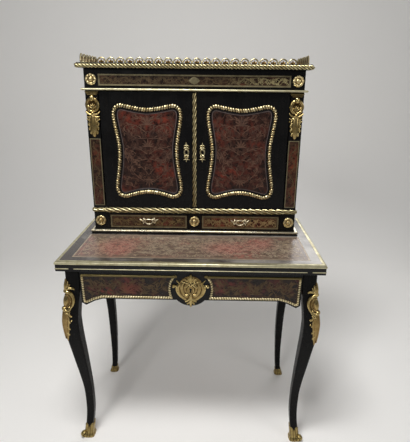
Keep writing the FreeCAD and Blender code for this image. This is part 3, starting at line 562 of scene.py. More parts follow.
def relief(strokes, low, high, cell, place, openings=(), patina=0.55):
    """The cast surface over a small net; it sinks where nothing is raised, and hollows of a patina depth turn
    dark."""
    across, up = np.meshgrid(*(np.arange(low[k], high[k] + cell, cell) for k in (0, 1)))
    height = np.full(across.shape, -3.0)
    rubbed = np.zeros(across.shape)
    for x, z, radius, lift, flat, brown in np.concatenate(strokes):
        reach = radius + 2.5
        c0, c1 = (int((x + k * reach - low[0]) / cell) + (k > 0) for k in (-1, 1))
        r0, r1 = (int((z + k * reach - low[1]) / cell) + (k > 0) for k in (-1, 1))
        here = np.s_[max(r0, 0):max(r1 + 1, 0), max(c0, 0):max(c1 + 1, 0)]
        far = np.hypot(across[here] - x, up[here] - z)
        ball = lift + flat * np.sqrt(np.maximum(radius ** 2 - far ** 2, 0))
        ball = np.where(far < radius, ball, radius - far)
        rubbed[here] = np.where(ball > height[here], brown, rubbed[here])
        height[here] = np.maximum(height[here], ball)
    around, hollow = height, 0.0
    for spread in range(1, 46):
        padded = np.pad(around, 1, mode="edge")
        around = (padded[:-2, 1:-1] + padded[2:, 1:-1] + padded[1:-1, :-2] + padded[1:-1, 2:]
                  + padded[1:-1, 1:-1]) / 5
        if spread == 3:
            hollow = np.clip((around - height) / patina, 0, 1)
    hollow = np.maximum(hollow, np.clip((around - height - 0.3) / (4 * patina), 0, 0.85))
    hollow = np.clip(hollow + rubbed, 0, 1)
    raised = height > 0
    shown = raised[:-1, :-1] | raised[1:, :-1] | raised[:-1, 1:] | raised[1:, 1:]
    for x, z, wide, high_half in openings:
        inside = ((across - x) / wide) ** 2 + ((up - z) / high_half) ** 2 < 1
        shown &= ~(inside[:-1, :-1] & inside[1:, 1:])
    height = np.maximum(height, -0.8)
    index = np.arange(across.size).reshape(across.shape)
    quads = np.stack([index[:-1, :-1], index[:-1, 1:], index[1:, 1:], index[1:, :-1]], -1)[shown]
    used, fresh = np.unique(quads, return_inverse=True)
    places = np.stack(place(across, up, height), -1).reshape(-1, 3)[used]
    return places, [tuple(q) for q in fresh.reshape(-1, 4).tolist()], hollow.reshape(-1)[used]


def on_face(face, x=0.0, z=0.0):
    """Places a relief on an upright front face."""
    return lambda across, up, height: (across + x, face - height, up + z)


# Marquetry: flat ribbons of brass cut along tapering tendrils

def tendril(x, z, heading, length, bend, coil, thick, thin=0.45):
    """A scroll that bends evenly at first and then coils up."""
    t = np.linspace(0, 1, 46)
    angle = np.radians(heading + bend * t + coil * t ** 3)
    step = length / (len(t) - 1) * np.linspace(1.25, 0.75, len(t))
    return np.column_stack([x + np.cumsum(np.cos(angle) * step), z + np.cumsum(np.sin(angle) * step),
                            thick + (thin - thick) * t ** 1.2])


def with_leaves(stem, every, size):
    """The stem and small leaves along it, on alternate sides."""
    strokes = [stem]
    side = 1
    for k in range(every, len(stem) - 4, every):
        x, z = stem[k, :2]
        heading = math.degrees(math.atan2(*(stem[k + 1, :2] - stem[k - 1, :2])[::-1]))
        reach = size * (1 - 0.55 * k / len(stem))
        leaf = tendril(x, z, heading + side * 62, reach, -side * 50, -side * 40, 0.2)
        leaf[:, 2] = 0.13 * reach * np.sin(np.linspace(0.25, math.pi, len(leaf))) + 0.15
        strokes.append(leaf[::3])
        side = -side
    eye = stem[-1, :2]
    dot = 0.45 * stem[0, 2] + 0.3
    ring = np.linspace(0, 2 * math.pi, 9)
    strokes.append(np.column_stack([eye[0] + dot * np.cos(ring), eye[1] + dot * np.sin(ring),
                                    np.full(len(ring), 0.9 * dot)]))
    return strokes


def mirror_strokes(strokes):
    return strokes + [stroke * (-1, 1, 1) for stroke in strokes]


def shifted(strokes, x, z):
    return [stroke + (x, z, 0) for stroke in strokes]


def turned(strokes):
    """The same strokes with across and up changed over."""
    return [stroke[:, [1, 0, 2]] for stroke in strokes]


def palmette(x, z, size, heading, petals=7):
    """A fan of petals."""
    strokes = []
    for k in range(petals):
        spread = (k / (petals - 1) - 0.5) * 150
        long = size * (1 - 0.35 * abs(spread) / 75)
        petal = tendril(x, z, heading + spread, long, spread * 0.25, 0, 0.2)
        petal[:, 2] = 0.055 * size * np.sin(np.linspace(0.1, math.pi * 0.95, len(petal))) + 0.2
        strokes.append(petal[::3])
    return strokes


def within(line, outline):
    """Which points of a line lie inside an outline."""
    x, z = line[:, 0][:, None], line[:, 1][:, None]
    a, b = np.asarray(outline, float), np.roll(np.asarray(outline, float), -1, 0)
    crosses = (a[:, 1] > z) != (b[:, 1] > z)
    rise = np.where(b[:, 1] == a[:, 1], 1e-9, b[:, 1] - a[:, 1])
    left_of = x < (b[:, 0] - a[:, 0]) * (z - a[:, 1]) / rise + a[:, 0]
    return (crosses & left_of).sum(1) % 2 == 1


def inward(line, span):
    """Steps of one millimetre from each point of a closed line to its inside."""
    ahead = np.roll(line, -span, 0) - np.roll(line, span, 0)
    steps = np.column_stack([ahead[:, 1], -ahead[:, 0]]) / np.linalg.norm(ahead, axis=1)[:, None]
    return steps if within(line[:1] + 4 * steps[:1], line)[0] else -steps


def ring_stroke(line, half_width):
    """A closed line as one stroke."""
    stroke = np.column_stack([line, np.full(len(line), half_width)])
    return np.vstack([stroke, stroke[:1]])


def inlay(strokes, place, outline=None):
    """Flat ribbons along the strokes, cut off at the outline; each lies a hair above the last, so that none
    share a plane."""
    forms = []
    for number, stroke in enumerate(strokes):
        keep = np.ones(len(stroke), bool) if outline is None else within(stroke, outline)
        edges = np.flatnonzero(np.diff(np.concatenate([[False], keep, [False]]).astype(int)))
        for start, end in edges.reshape(-1, 2):
            run = stroke[start:end]
            if len(run) < 3:
                continue
            ahead = np.gradient(run[:, :2], axis=0)
            ahead = ahead / np.maximum(np.linalg.norm(ahead, axis=1), 1e-9)[:, None]
            aside = np.column_stack([-ahead[:, 1], ahead[:, 0]]) * run[:, 2:3]
            flat = np.stack([run[:, :2] - aside, run[:, :2] + aside], 0)
            lift = INLAY_PROUD + INLAY_STEP * (number % 40)
            places = np.stack(place(flat[..., 0], flat[..., 1], lift), -1)
            count = len(run)
            faces = [(i, i + 1, count + i + 1, count + i) for i in range(count - 1)]
            forms.append((places.reshape(-1, 3), faces, np.zeros(2 * count)))
    return joined(*forms)


def line_frame(x0, x1, z0, z1, width):
    """Four straight inlay lines, mitred at the corners, as closed strokes."""
    h = width / 2
    corners = [(x0 + h, z0 + h), (x1 - h, z0 + h), (x1 - h, z1 - h), (x0 + h, z1 - h)]
    strokes = []
    for k in range(4):
        a, b = np.array(corners[k]), np.array(corners[(k + 1) % 4])
        way = (b - a) / np.linalg.norm(b - a) * h
        strokes.append(np.array([(*(a - way), h), (*((a + b) / 2), h), (*(b + way), h)]))
    return strokes


def front_plate(face, middle=0.0, height=0.0):
    """Places inlay on an upright front face."""
    return lambda x, z, lift: (x + middle, np.full(x.shape, face - lift), z + height)


def top_plate(x, y, lift):
    """Places inlay on the table top."""
    return x, y, np.full(x.shape, TABLE_TOP + lift)


def running_scroll(length, height, waves):
    """A wave of scrolls along a strip, from its middle to its right end."""
    pitch = length / waves
    strokes = []
    for k in range(waves):
        side = 1 if k % 2 == 0 else -1
        start = (k * pitch, -side * 0.18 * height)
        stem = tendril(*start, side * 42, 2.15 * pitch, -side * 95, -side * 300, 0.013 * height + 0.35)
        strokes += with_leaves(stem, 7, 0.42 * height)
        strokes.append(smooth_line([(*start, 0.7), (start[0] + 0.5 * pitch, side * 0.34 * height, 0.9),
                                    (start[0] + pitch, side * 0.18 * height, 0.7)], 2.0))
    return strokes


def strewn_scrolls(outline, pitch, length, thick, seed):
    """Small double scrolls strewn evenly inside an outline, turned this way and that."""
    chance = np.random.default_rng(seed)
    outline = np.asarray(outline, float)
    low, high = outline.min(0), outline.max(0)
    strokes = []
    for row, z in enumerate(np.arange(low[1] + 0.4 * pitch, high[1], 0.87 * pitch)):
        for x in np.arange(low[0] + (0.3 + 0.5 * (row % 2)) * pitch, high[0], pitch):
            start = np.array([[x, z]]) + chance.uniform(-0.12, 0.12, 2) * pitch
            heading, stretch = chance.uniform(0, 360), chance.uniform(0.85, 1.15)
            side = chance.choice((-1, 1))
            if not within(start, outline)[0]:
                continue
            for way in (0, 180):
                stem = tendril(*start[0], heading + way, length * stretch, side * 70, side * 400, thick)
                strokes += with_leaves(stem, 9, 0.3 * length)
    return strokes


# Wood and linings: the solids keep their shape and get a finish and softened edges

def dress(finish, *nodes, edge=0.7):
    for name in nodes:
        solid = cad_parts[name]
        solid.data.materials.clear()
        solid.data.materials.append(finish)
        if edge:
            solid.modifiers.new("welded", "WELD").merge_threshold = 0.00002
            bevel = solid.modifiers.new("softened_edges", "BEVEL")
            bevel.width = edge / 1000
            bevel.segments = 2
            bevel.limit_method = "ANGLE"
            bevel.angle_limit = math.radians(50)


dress(table_ebony, "table_top")
dress(upright_ebony, "pilaster_left", "pilaster_right", "door_left", "door_right", "cabinet_side_left",
      "cabinet_side_right", "corner_blocks", "drawer_divider")
dress(long_ebony, "back_apron", "frieze_drawer_front", "cabinet_base", "drawer_deck", "cabinet_head",
      "cornice", "small_drawer_left_front", "small_drawer_right_front")
dress(deep_ebony, "side_apron_left", "side_apron_right")
dress(oak, "cabinet_back", "drawer_runners", "frieze_drawer_box", "small_drawer_guides", "shelf",
      "small_drawer_left_box", "small_drawer_right_box")
dress(shell, "door_left_panel", "door_right_panel", edge=0)
dress(frieze_shell, "frieze_drawer_panels", edge=0)
dress(top_shell, "table_panel", edge=0)
dress(iron, "frieze_drawer_lock", "door_lock", "door_left_pivots", "door_right_pivots", edge=0)


# Legs: the same sections as the solids, drawn through with one smooth sweep
def curved_leg(sections, y_leg, outward):
    rows = smooth_line(sections, LEG_STEP)
    turn = np.linspace(0, 2 * math.pi, 80, endpoint=False) + math.pi / 80
    square = (np.abs(np.cos(turn)) ** 10 + np.abs(np.sin(turn)) ** 10) ** -0.1
    half = rows[:, 2] / 2
    places = np.stack([LEG_X + rows[:, 1] + np.outer(square * np.cos(turn), half),
                       y_leg + outward * rows[:, 1] + np.outer(square * np.sin(turn), half),
                       np.broadcast_to(rows[:, 0], (len(turn), len(rows)))], -1)
    points, faces, hollow = grid(places, (-1, 0, 0), loop=True)
    foot = tuple(k * len(rows) for k in range(len(turn)))
    return points, faces + [foot[::-1], tuple(k + len(rows) - 1 for k in foot)], hollow


front_leg = curved_leg(FRONT_LEG, -LEG_Y, -1)
rear_leg = curved_leg(REAR_LEG, REAR_LEG_Y, 1)
for corner, leg in (("front_right", front_leg), ("front_left", mirrored(front_leg)),
                    ("rear_right", rear_leg), ("rear_left", mirrored(rear_leg))):
    piece("curved_leg_" + corner, leg, leg_ebony, "carcass", EBONY, "leg_" + corner, crease=50)

# Table edge: a brass strip with a rolled nose, short bright lines at the corners, a long thin line between
edge_nose = [(0, 738), (3.5, 738), (7.5, 737.5), (10.5, 736.4), (12.3, 734.6), (13, 732), (12.8, 729.6),
             (12, 728), (10.5, 727.2), (9, 727), (0, 727)]
line_y, line_low, line_high = EDGE_LINE
corner_line = joined(block(388, 432, -239.2, line_y, line_low, line_high),
                     block(430, 432, line_y, TABLE_BACK, line_low, line_high))
table_edge = joined(mitred_moulding(edge_nose, STRIP_HALF, STRIP_FRONT, TABLE_BACK), corner_line,
                    mirrored(corner_line))
piece("table_edge_moulding", table_edge, edge_brass, "carcass", GILT, "table_edge")
long_line = block(-372, 372, -238.9, line_y, 711.6, 714.0)
piece("table_edge_long_line", long_line, edge_brass, "carcass", GILT)

# Table top marquetry: a pale line and a thin line round scrolls that spread from the middle
top_half_wide, top_front, top_back = TOP_PANEL
top_middle = (top_front + top_back) / 2
top_half = (top_back - top_front) / 2
top_lines = line_frame(-top_half_wide, top_half_wide, top_front, top_back, 5)
top_lines += line_frame(15 - top_half_wide, top_half_wide - 15, top_front + 12, top_back - 12, 1.6)
top_scrolls = []
for x, heading, length, bend, coil in (
        (0, 38, 250, -62, -430), (0, 8, 190, 60, 430), (96, 30, 210, -40, -420), (110, 52, 130, 30, 420),
        (190, 12, 190, 40, 430), (205, 48, 190, -50, -420), (272, 8, 120, 60, 420), (285, 40, 130, -30, -400),
        (40, 62, 120, -20, -420)):
    for side in (-1, 1):
        stem = tendril(x, 0, side * heading, length, side * bend, side * coil, 1.0)
        top_scrolls += with_leaves(stem, 5, 16)
scroll_half = top_half_wide - 18
top_room = rectangle(0, scroll_half, 16 - top_half, top_half - 16)
top_scrolls += strewn_scrolls(top_room, 24, 40, 0.55, 11)
top_edge = rectangle(-scroll_half, scroll_half, top_front + 16, top_back - 16)
top_brass = joined(inlay(top_lines, top_plate),
                   inlay(shifted(mirror_strokes(top_scrolls), 0, top_middle), top_plate, top_edge))
piece("table_top_brass_inlay", top_brass, top_inlay_brass, "carcass", INLAY)

# Knee mounts: spray, curled collar, oval cartouche and long leaf, cast round the outer corner of a front leg
leg_rows = smooth_line(FRONT_LEG, LEG_STEP)


def round_knee(across, up, height):
    swing, width = (np.interp(up, leg_rows[:, 0], leg_rows[:, k]) for k in (1, 2))
    corner = swing + width / 2
    bow = 7.0
    arc = bow * math.pi / 4
    on_arc = np.clip(across, -arc, arc)
    angle = np.radians(-45) + on_arc / bow
    x = corner - bow + (bow + height) * np.cos(angle) + np.minimum(across + arc, 0)
    y = bow - corner + (bow + height) * np.sin(angle) + np.maximum(across - arc, 0)
    return LEG_X + x, -LEG_Y + y, up


knee = [cast([(0, 618, 4.2), (0, 640, 5.6), (0, 653, 3.8), (0, 664, 1.6)], 2.0, brown=0.15)]
for reach, tip in ((7, 654), (12.5, 645)):
    spray = [(0, 622, 3), (0.6 * reach, tip - 13, 4.2), (reach, tip, 2.2)]
    knee += both_sides(cast(spray, 1.6, brown=0.1))
curl = cast([(2, 629, 3.6), (10, 632, 4.4), (18, 632, 3.8), (25, 630.5, 2.8), (28, 628, 1.8)], 2.4)
brow = cast([(0, 621, 5.4), (10, 618.5, 5.0), (19, 611.5, 4.2), (25.5, 602, 3.2)], 3.0)
rim = cast(half_oval(0, 587, 29.5, 33, 4.6), 1.8, brown=0.08)
inner_rim = cast(half_oval(0, 586, 19, 22, 2.0), 1.2, brown=0.2)
oval_ground = cast([(0, 598, 26), (0, 576, 26)], 0.3, 0.05, 2.0, 0.3)
oval_boss = cast([(0, 603, 6.0), (0, 587, 12.0), (0, 571, 6.0)], 0.6, 0.45, brown=0.2)
volute = cast([(2, 557, 3.6), (12, 553, 4.4), (20, 559, 3.8), (16, 566, 2.8)], 3.2)
under_volute = cast([(3, 546, 3.4), (13, 543, 3.8), (19, 548, 2.4)], 2.4, brown=0.1)
knot = cast([(0, 562, 5.6), (0, 560.5, 5.6)], 3.8)
leaf = cast([(0, 549, 12), (0, 518, 15), (0, 482, 11), (0, 452, 6.5), (0, 435, 2.4)], 0.8, 0.42, brown=0.3)
fold = cast([(9, 545, 3.0), (17, 522, 3.4), (13.5, 488, 3.0), (7.5, 458, 2.4), (2, 440, 1.6)], 1.0,
            brown=0.22)
vein = cast([(0, 546, 2.0), (0, 500, 2.2), (0, 446, 1.4)], 5.2, brown=0.3)
knee += both_sides(curl, brow, rim, inner_rim, volute, under_volute, fold)
knee += [oval_ground, oval_boss, knot, leaf, vein]
for z, reach in ((536, 21), (512, 21.5), (486, 18), (464, 12.5)):
    notch = [(reach - 7, z + 7, 3.0), (reach - 1.5, z, 3.0), (reach - 1, z - 5, 1.6)]
    knee += both_sides(cast(notch, 0.8, brown=0.1))
for x, z, radius in ((25, 532, 3.4), (26, 516, 3.0)):
    knee += both_sides(cast([(x, z, radius), (x, z + 0.5, radius)], 1.6))
knee_mount = relief(knee, (-40, 428), (40, 668), 0.8, round_knee, patina=1.3)
piece("knee_leaf_mounts", joined(knee_mount, mirrored(knee_mount)), mount_gilt, "carcass", GILT,
      "knee_mounts", crease=80)


# Sabots: a leaf cup round each front foot with a rolled toe, and a plain cup on each rear foot
def foot_cup(sections, y_leg, outward, top, leaf_share):
    """A cup round a foot: reach past the wood at each height, rising to a leaf tip at each corner."""
    turn = np.linspace(0, 2 * math.pi, 96, endpoint=False)
    square = (np.abs(np.cos(turn)) ** 8 + np.abs(np.sin(turn)) ** 8) ** (-1 / 8)
    rise = top * (1 - leaf_share * (1 - np.abs(np.sin(2 * turn)) ** 0.8))
    rib = np.abs(np.cos(6 * turn)) ** 0.5
    levels, swings, widths = (np.array(sections)[:, k] for k in (0, 1, 2))
    rows, hollow = [], []
    for z in np.linspace(0, top, 40):
        swing, width = (np.interp(z, levels, row) for row in (swings, widths))
        edge = np.clip((rise - z) / 3.0, -1, 1)
        foot = 5.0 * np.clip(1 - z / 13.0, 0, 1) ** 0.7
        reach = np.where(edge > 0, 1.6 + 1.5 * np.sqrt(np.abs(edge)) * (0.35 + 0.65 * rib) + foot, edge)
        radius = square * (width / 2) + reach
        rows.append(np.column_stack([LEG_X + swing + radius * np.cos(turn),
                                     y_leg + outward * swing + radius * np.sin(turn),
                                     np.full(len(turn), z)]))
        hollow.append(np.clip(0.8 - 1.1 * rib, 0, 1) * (edge > 0))
    places = np.array(rows).transpose(1, 0, 2)
    points, faces, depth = grid(places, (-1, 0, 0), loop=True, hollow=np.array(hollow).T)
    sole = tuple(k * len(rows) for k in range(len(turn)))[::-1]
    return points, faces + [sole], depth


toe_turn = np.linspace(0, 1, 40)
toe_size = 11.0 * (1 - 0.72 * toe_turn)
toe_out = 16.5 + 0.707 * toe_size * np.sin(np.radians(-60 + 470 * toe_turn))
toe_up = 13.0 + toe_size * np.cos(np.radians(-60 + 470 * toe_turn))
toe_path = np.column_stack([LEG_X + toe_out, -LEG_Y - toe_out, toe_up])
toe = rod(toe_path, 3.0 - 1.4 * toe_turn, 2.8, 12, (0.707, 0.707, 0))
front_cup = foot_cup(FRONT_LEG, -LEG_Y, -1, 55, 0.34)
right_feet = joined(front_cup, toe, foot_cup(REAR_LEG, REAR_LEG_Y, 1, 29, 0.12))
# The darker sabot gilt is painted shade near the floor
piece("sabot_mounts", joined(right_feet, mirrored(right_feet)), shaded_foot_gilt, "carcass", GILT, "sabots",
      crease=60)

# Frieze drawer: beaded brass round each panel, scroll marquetry inside, a cartouche on the roundel
panel_sides = zip(DRAWER_PANEL, DRAWER_PANEL[1:] + DRAWER_PANEL[:1])
panel_line = np.concatenate([np.linspace(start, end, 30, endpoint=False) for start, end in panel_sides])
ring_line = evenly(panel_line, 1.2, loop=True)
for _ in range(4):
    ring_line = (np.roll(ring_line, 1, 0) + ring_line + np.roll(ring_line, -1, 0)) / 3
ring_in = inward(ring_line, 1)
drawer_ring = ring_line + 3.3 * ring_in
bead_depth = np.interp(drawer_ring[:, 1], [600, 608, 640, 676], [0.2, 0.42, 0.42, 0.06])
points, faces, hollow = rope(upright(drawer_ring, DRAWER_FACE), TO_FRONT, 4.1, 5, 42, bead_depth, slant=0.15,
                             squash=0.88, sink=20, sides=11, loop=True)
# The top run of each bead is darkened as a painted shadow of the table's overhang
shadowed_top_run = 0.45 * np.clip((points[:, 2] - 668) / 8, 0, 1)
beaded = (points, faces, np.maximum(hollow, shadowed_top_run))
piece("frieze_panel_mouldings", joined(beaded, mirrored(beaded)), frieze_gilt, "frieze_drawer", GILT,
      "frieze_drawer_borders", crease=70)
panel_room = ring_line + 9.5 * ring_in
panel_edge = ring_stroke(ring_line + 7.6 * ring_in, 1.0)
half_scroll = running_scroll(145, 70, 3) + palmette(0, -22, 40, 90)
drawer_scrolls = shifted(mirror_strokes(half_scroll), 212, 638)
drawer_scrolls += strewn_scrolls(panel_room[::6], 30, 44, 0.8, 5)
drawer_plate = front_plate(DRAWER_FACE)
drawer_brass = []
for over in BOTH_HANDS:
    drawer_brass.append(inlay([panel_edge * over], drawer_plate))
    drawer_brass.append(inlay([s * over for s in drawer_scrolls], drawer_plate, panel_room * over[:2]))
piece("frieze_drawer_brass_inlay", joined(*drawer_brass), inlay_brass, "frieze_drawer", INLAY)

cartouche_ground = [(0, 652, 28), (0, 645, 36), (0, 637, 42), (0, 624, 38), (0, 613, 27), (0, 606, 16)]
cartouche = [cast(cartouche_ground, 1.0, 0.07, 2.0, 0.3)]
# Nested wings and rim, brow, palmette lobes, horns, lugs, beads and the foot's leaves
for lift, flat, brown, knots in (
        (1.6, 0.62, 0.2, [(35, 652, 5.0), (42, 641, 6.2), (40.5, 627, 6.6), (33, 613, 6.4), (21, 602, 5.0),
                          (11, 595, 3.4)]),
        (2.2, 0.9, 0.0, [(38, 653, 2.0), (47, 641, 2.4), (46, 626, 2.4), (38, 611, 2.2), (25, 600, 2.0),
                         (13, 593, 1.6)]),
        (2.6, 0.66, 0.22, [(26, 655, 4.6), (29.5, 643, 6.2), (27.5, 629, 6.4), (21.5, 616, 5.6),
                           (13, 606, 4.2)]),
        (3.6, 0.7, 0.28, [(14, 655, 3.6), (18.5, 645, 4.6), (17.5, 632, 4.6), (13, 621, 3.6)]),
        (5.2, 0.9, 0.0, [(4, 655, 2.4), (11, 648, 3.0), (17, 643.5, 3.2), (22, 642, 2.0)]),
        (4.2, 0.9, 0.06, [(2, 648, 2.2), (8, 655, 2.8), (15, 659, 2.6), (21, 660, 1.6)]),
        (2.4, 0.9, 0.08, [(1, 664, 3.4), (6.5, 672, 4.2), (9.5, 679, 2.8)]),
        (2.0, 0.9, 0.1, [(4, 661, 3.4), (13, 666, 4.4), (18.5, 671, 2.8)]),
        (1.8, 0.9, 0.1, [(12, 659, 3.0), (23, 660, 4.0), (29.5, 662.5, 2.4)]),
        (2.0, 0.9, 0.0, [(36, 654, 2.2), (42, 660, 2.2), (47.5, 666, 1.2)]),
        (2.2, 0.9, 0.0, [(45, 643, 3.4), (51, 646, 4.2), (56, 645.5, 5.2), (56.6, 643.5, 5.0)]),
        (5.0, 0.9, 0.0, [(10, 614, 3.9), (16.5, 613.5, 3.9)]),
        (2.2, 0.9, 0.06, [(3, 601, 3.4), (11, 594, 4.8), (17, 589.5, 3.0)]),
        (2.0, 0.9, 0.08, [(2, 591, 3.2), (8.5, 584, 3.8), (11.5, 579.5, 2.4)]),
        (3.4, 0.9, 0.16, half_oval(0, KEYHOLE_Z, 9.5, 14.5, 2.6))):
    cartouche += both_sides(cast(knots, lift, flat, brown=brown))
cartouche += [cast([(0, KEYHOLE_Z + 5, 8), (0, KEYHOLE_Z - 4, 8)], 2.4, 0.05, brown=0.8),
              cast([(0, 660, 4.6), (0, 673, 5.6), (0, 685, 4.0)], 3.0),
              cast([(0, 609, 6.0), (0, 602, 5.0)], 2.4, 0.9, brown=0.16),
              cast([(0, 602, 4.0), (0, 590, 5.6), (0, 580, 3.8), (0, 575, 2.8)], 2.6, 0.9, brown=0.06),
              cast([(0, 573.5, 3.6), (0, 573, 3.6)], 3.6)]
keyhole = [(0, KEYHOLE_Z + 2, 4.6, 4.8), (0, KEYHOLE_Z - 4, 3.0, 7.6)]
shield = relief(cartouche, (-64, 566), (64, 692), 0.75, on_face(DRAWER_FACE), keyhole, 1.2)
piece("frieze_cartouche", shield, mount_gilt, "frieze_drawer", GILT, "frieze_drawer_escutcheon", crease=80)

# Cabinet mouldings: plinth band, line under the head, ropes
plinth_profile = [(0, 753.5), (5, 753.5), (7.6, 753), (9.3, 751.8), (10, 750), (9.8, 748.2), (8.8, 746.6),
                  (7.2, 745.7), (5, 745.5), (0, 745.5)]
plinth_band = mitred_moulding(plinth_profile, PLINTH_HALF, PLINTH_FRONT, BACK)
piece("plinth_brass_band", plinth_band, line_brass, "carcass", GILT, "plinth_moulding")
head_profile = [(0, 1263.5), (6, 1263.5), (9, 1263), (10.8, 1261.6), (11.4, 1259.8), (10.9, 1258),
                (9.4, 1256.6), (7, 1255.8), (4, 1255.5), (0, 1255.5)]
head_line = mitred_moulding(head_profile, BODY_HALF, FACE, BACK)
piece("head_brass_line", head_line, edge_brass, "carcass", GILT, "frieze_moulding")


def wrapped_path(half, front, back, z, step):
    """Along the left side, the front and the right side, round small corners, with the way out at each
    point."""
    corner = 1.5
    turn = np.linspace(0, math.pi / 2, 9)
    left_out = np.column_stack([-np.cos(turn), -np.sin(turn)])
    right_out = np.column_stack([np.sin(turn), -np.cos(turn)])
    depth = np.linspace(back, front + corner, int((back - front) / step) + 1)[:-1]
    width = np.linspace(-half + corner, half - corner, int(2 * half / step) + 1)[1:-1]
    places = np.concatenate([np.column_stack([np.full(len(depth), -half), depth]),
                             (corner - half, front + corner) + corner * left_out,
                             np.column_stack([width, np.full(len(width), front)]),
                             (half - corner, front + corner) + corner * right_out,
                             np.column_stack([np.full(len(depth), half), depth[::-1]])])
    outs = np.concatenate([np.tile((-1.0, 0.0), (len(depth), 1)), left_out,
                           np.tile((0.0, -1.0), (len(width), 1)), right_out,
                           np.tile((1.0, 0.0), (len(depth), 1))])
    return np.column_stack([places, np.full(len(places), z)]), np.column_stack([outs, np.zeros(len(outs))])


cornice_path, cornice_out = wrapped_path(CORNICE_HALF, CORNICE_FRONT, BACK, CORNICE_ROPE_Z, 1.4)
cornice_rope = rope(cornice_path, cornice_out, 7.8, 3, 37.8, 0.5, 1.3)
piece("cornice_rope_twist", cornice_rope, rope_gilt, "carcass", GILT, "cornice_rope", crease=70)
waist_path = np.linspace((-WAIST_HALF, FACE, WAIST_Z), (WAIST_HALF, FACE, WAIST_Z), 640)
waist_rope = [rope(waist_path, TO_FRONT, 10.0, 3, 78.0, 0.42, 1.5)]
waist_ends, waist_out = wrapped_path(BODY_HALF, FACE, BACK, WAIST_Z, 2.0)
front_run = (np.abs(waist_ends[:, 0]) < WAIST_HALF) & (waist_ends[:, 1] < FACE + 1)
first, last = np.flatnonzero(front_run)[[0, -1]]
for run in (np.s_[:first + 1], np.s_[last:]):
    waist_rope.append(rope(waist_ends[run], waist_out[run], 8.0, 3, 69.3, 0.3, 1.8))
piece("waist_rope_twist", joined(*waist_rope), rope_gilt, "carcass", GILT, "waist_rope", crease=70)

# Head plaque: a brass frame round dark shell with running scrolls and a lozenge
plaque_half, plaque_low, plaque_high, rail, stile = HEAD_PLAQUE
plaque_middle = (plaque_low + plaque_high) / 2
plaque_face = FACE - 1.5
plaque = block(-plaque_half, plaque_half, plaque_face, FACE, plaque_low, plaque_high, 0.3)
piece("head_plaque_shell", plaque, brown_shell, "carcass", INLAY, "frieze_plaque")
plaque_frame = []
for x0, x1, z0, z1 in ((-plaque_half, plaque_half, plaque_high - rail, plaque_high),
                       (-plaque_half, plaque_half, plaque_low, plaque_low + rail),
                       (-plaque_half, stile - plaque_half, plaque_low + rail, plaque_high - rail),
                       (plaque_half - stile, plaque_half, plaque_low + rail, plaque_high - rail)):
    plaque_frame.append(block(x0, x1, FACE - 2.2, FACE, z0, z1))
piece("head_plaque_frame", joined(*plaque_frame), frame_brass, "carcass", GILT)
head_room = rectangle(-320, 320, 1278, 1303)
head_scrolls = shifted(mirror_strokes(shifted(running_scroll(292, 25, 9), 24, 0)), 0, plaque_middle)
head_scrolls += strewn_scrolls(head_room, 19, 27, 0.8, 3)
head_brass = inlay(head_scrolls, front_plate(plaque_face), head_room)
piece("head_plaque_brass_inlay", head_brass, head_inlay_brass, "carcass", INLAY)
lozenge_half = [(0, 12.5), (6, 10.5), (13, 6.5), (19.5, 0), (13, -6.5), (6, -10.5), (0, -12.5)]
lozenge_edge = np.array(both_halves(lozenge_half))
rings = []
for scale, proud in ((1.0, 0.0), (1.0, 0.7), (0.93, 1.1), (0.5, 1.2), (0.12, 1.3)):
    rings.append(upright(lozenge_edge * scale, plaque_face - proud, z=plaque_middle))
points, faces, hollow = grid(np.array(rings).transpose(1, 0, 2), TO_FRONT, loop=True)
lozenge_top = tuple(k * len(rings) + len(rings) - 1 for k in range(len(lozenge_edge)))[::-1]
piece("head_plaque_lozenge", (points, faces + [lozenge_top], hollow), frame_brass, "carcass", GILT)

# Rosettes: a ring of eight rounded petals round a burnished boss
rosette_turn = np.linspace(0, 2 * math.pi, 96, endpoint=False)
PETAL_CREST = 14.4
BOSS_EDGE = 10.0


def turned_disc(radius, lift, hollow):
    """A round mount on the front face from its profile over radius and angle."""
    r, a = np.meshgrid(radius, rosette_turn)
    return grid(np.stack([r * np.cos(a), FACE - lift(r, a), r * np.sin(a)], -1), TO_FRONT, True,
                np.clip(hollow(r, a), 0, 1))


def petal_lift(r, a):
    reach = 18.2 + 1.2 * np.abs(np.cos(4 * a)) ** 0.7
    outer = np.sqrt(np.clip(1 - ((r - PETAL_CREST) / (reach - PETAL_CREST)) ** 2, 0, 1))
    inner = np.sqrt(np.clip(1 - ((r - PETAL_CREST) / 4.8) ** 2, 0, 1))
    swell = np.where(r > PETAL_CREST, outer, inner)
    return np.where(r < reach, 1.2 + 3.6 * swell * (0.66 + 0.34 * np.abs(np.cos(4 * a)) ** 0.6), -0.6)


def petal_hollow(r, a):
    between = np.clip(1 - 2.2 * np.abs(np.cos(4 * a)), 0, 1)
    return 0.02 + 0.45 * np.exp(-((r - 10.2) / 1.0) ** 2) + 0.3 * between


def boss_lift(r, a):
    return 1.6 + 1.8 * np.sqrt(np.clip((BOSS_EDGE - r) / 1.2, 0, 1)) + 3.6 * (1 - (r / BOSS_EDGE) ** 2)


# Darker towards the boss's rim: painted shade on the dome, leaving its middle bright
def boss_painted_shade(r, a):
    return np.clip((r - 5.0) / 5.0, 0, 1) * 0.6


petal_ring = turned_disc(np.linspace(9.2, 19.5, 26), petal_lift, petal_hollow)
boss_radii = np.concatenate([np.linspace(0.02, 8.8, 12), np.linspace(9.1, BOSS_EDGE, 8)])
boss = turned_disc(boss_radii, boss_lift, boss_painted_shade)
petals = joined(*[moved(petal_ring, x, 0, z) for x, z in ROSETTES])
piece("rosette_mounts", petals, boss_gilt, "carcass", GILT, "rosettes", crease=80)
bosses = joined(*[moved(boss, x, 0, z) for x, z in ROSETTES])
piece("rosette_bosses", bosses, boss_gilt, "carcass", GILT, crease=80)

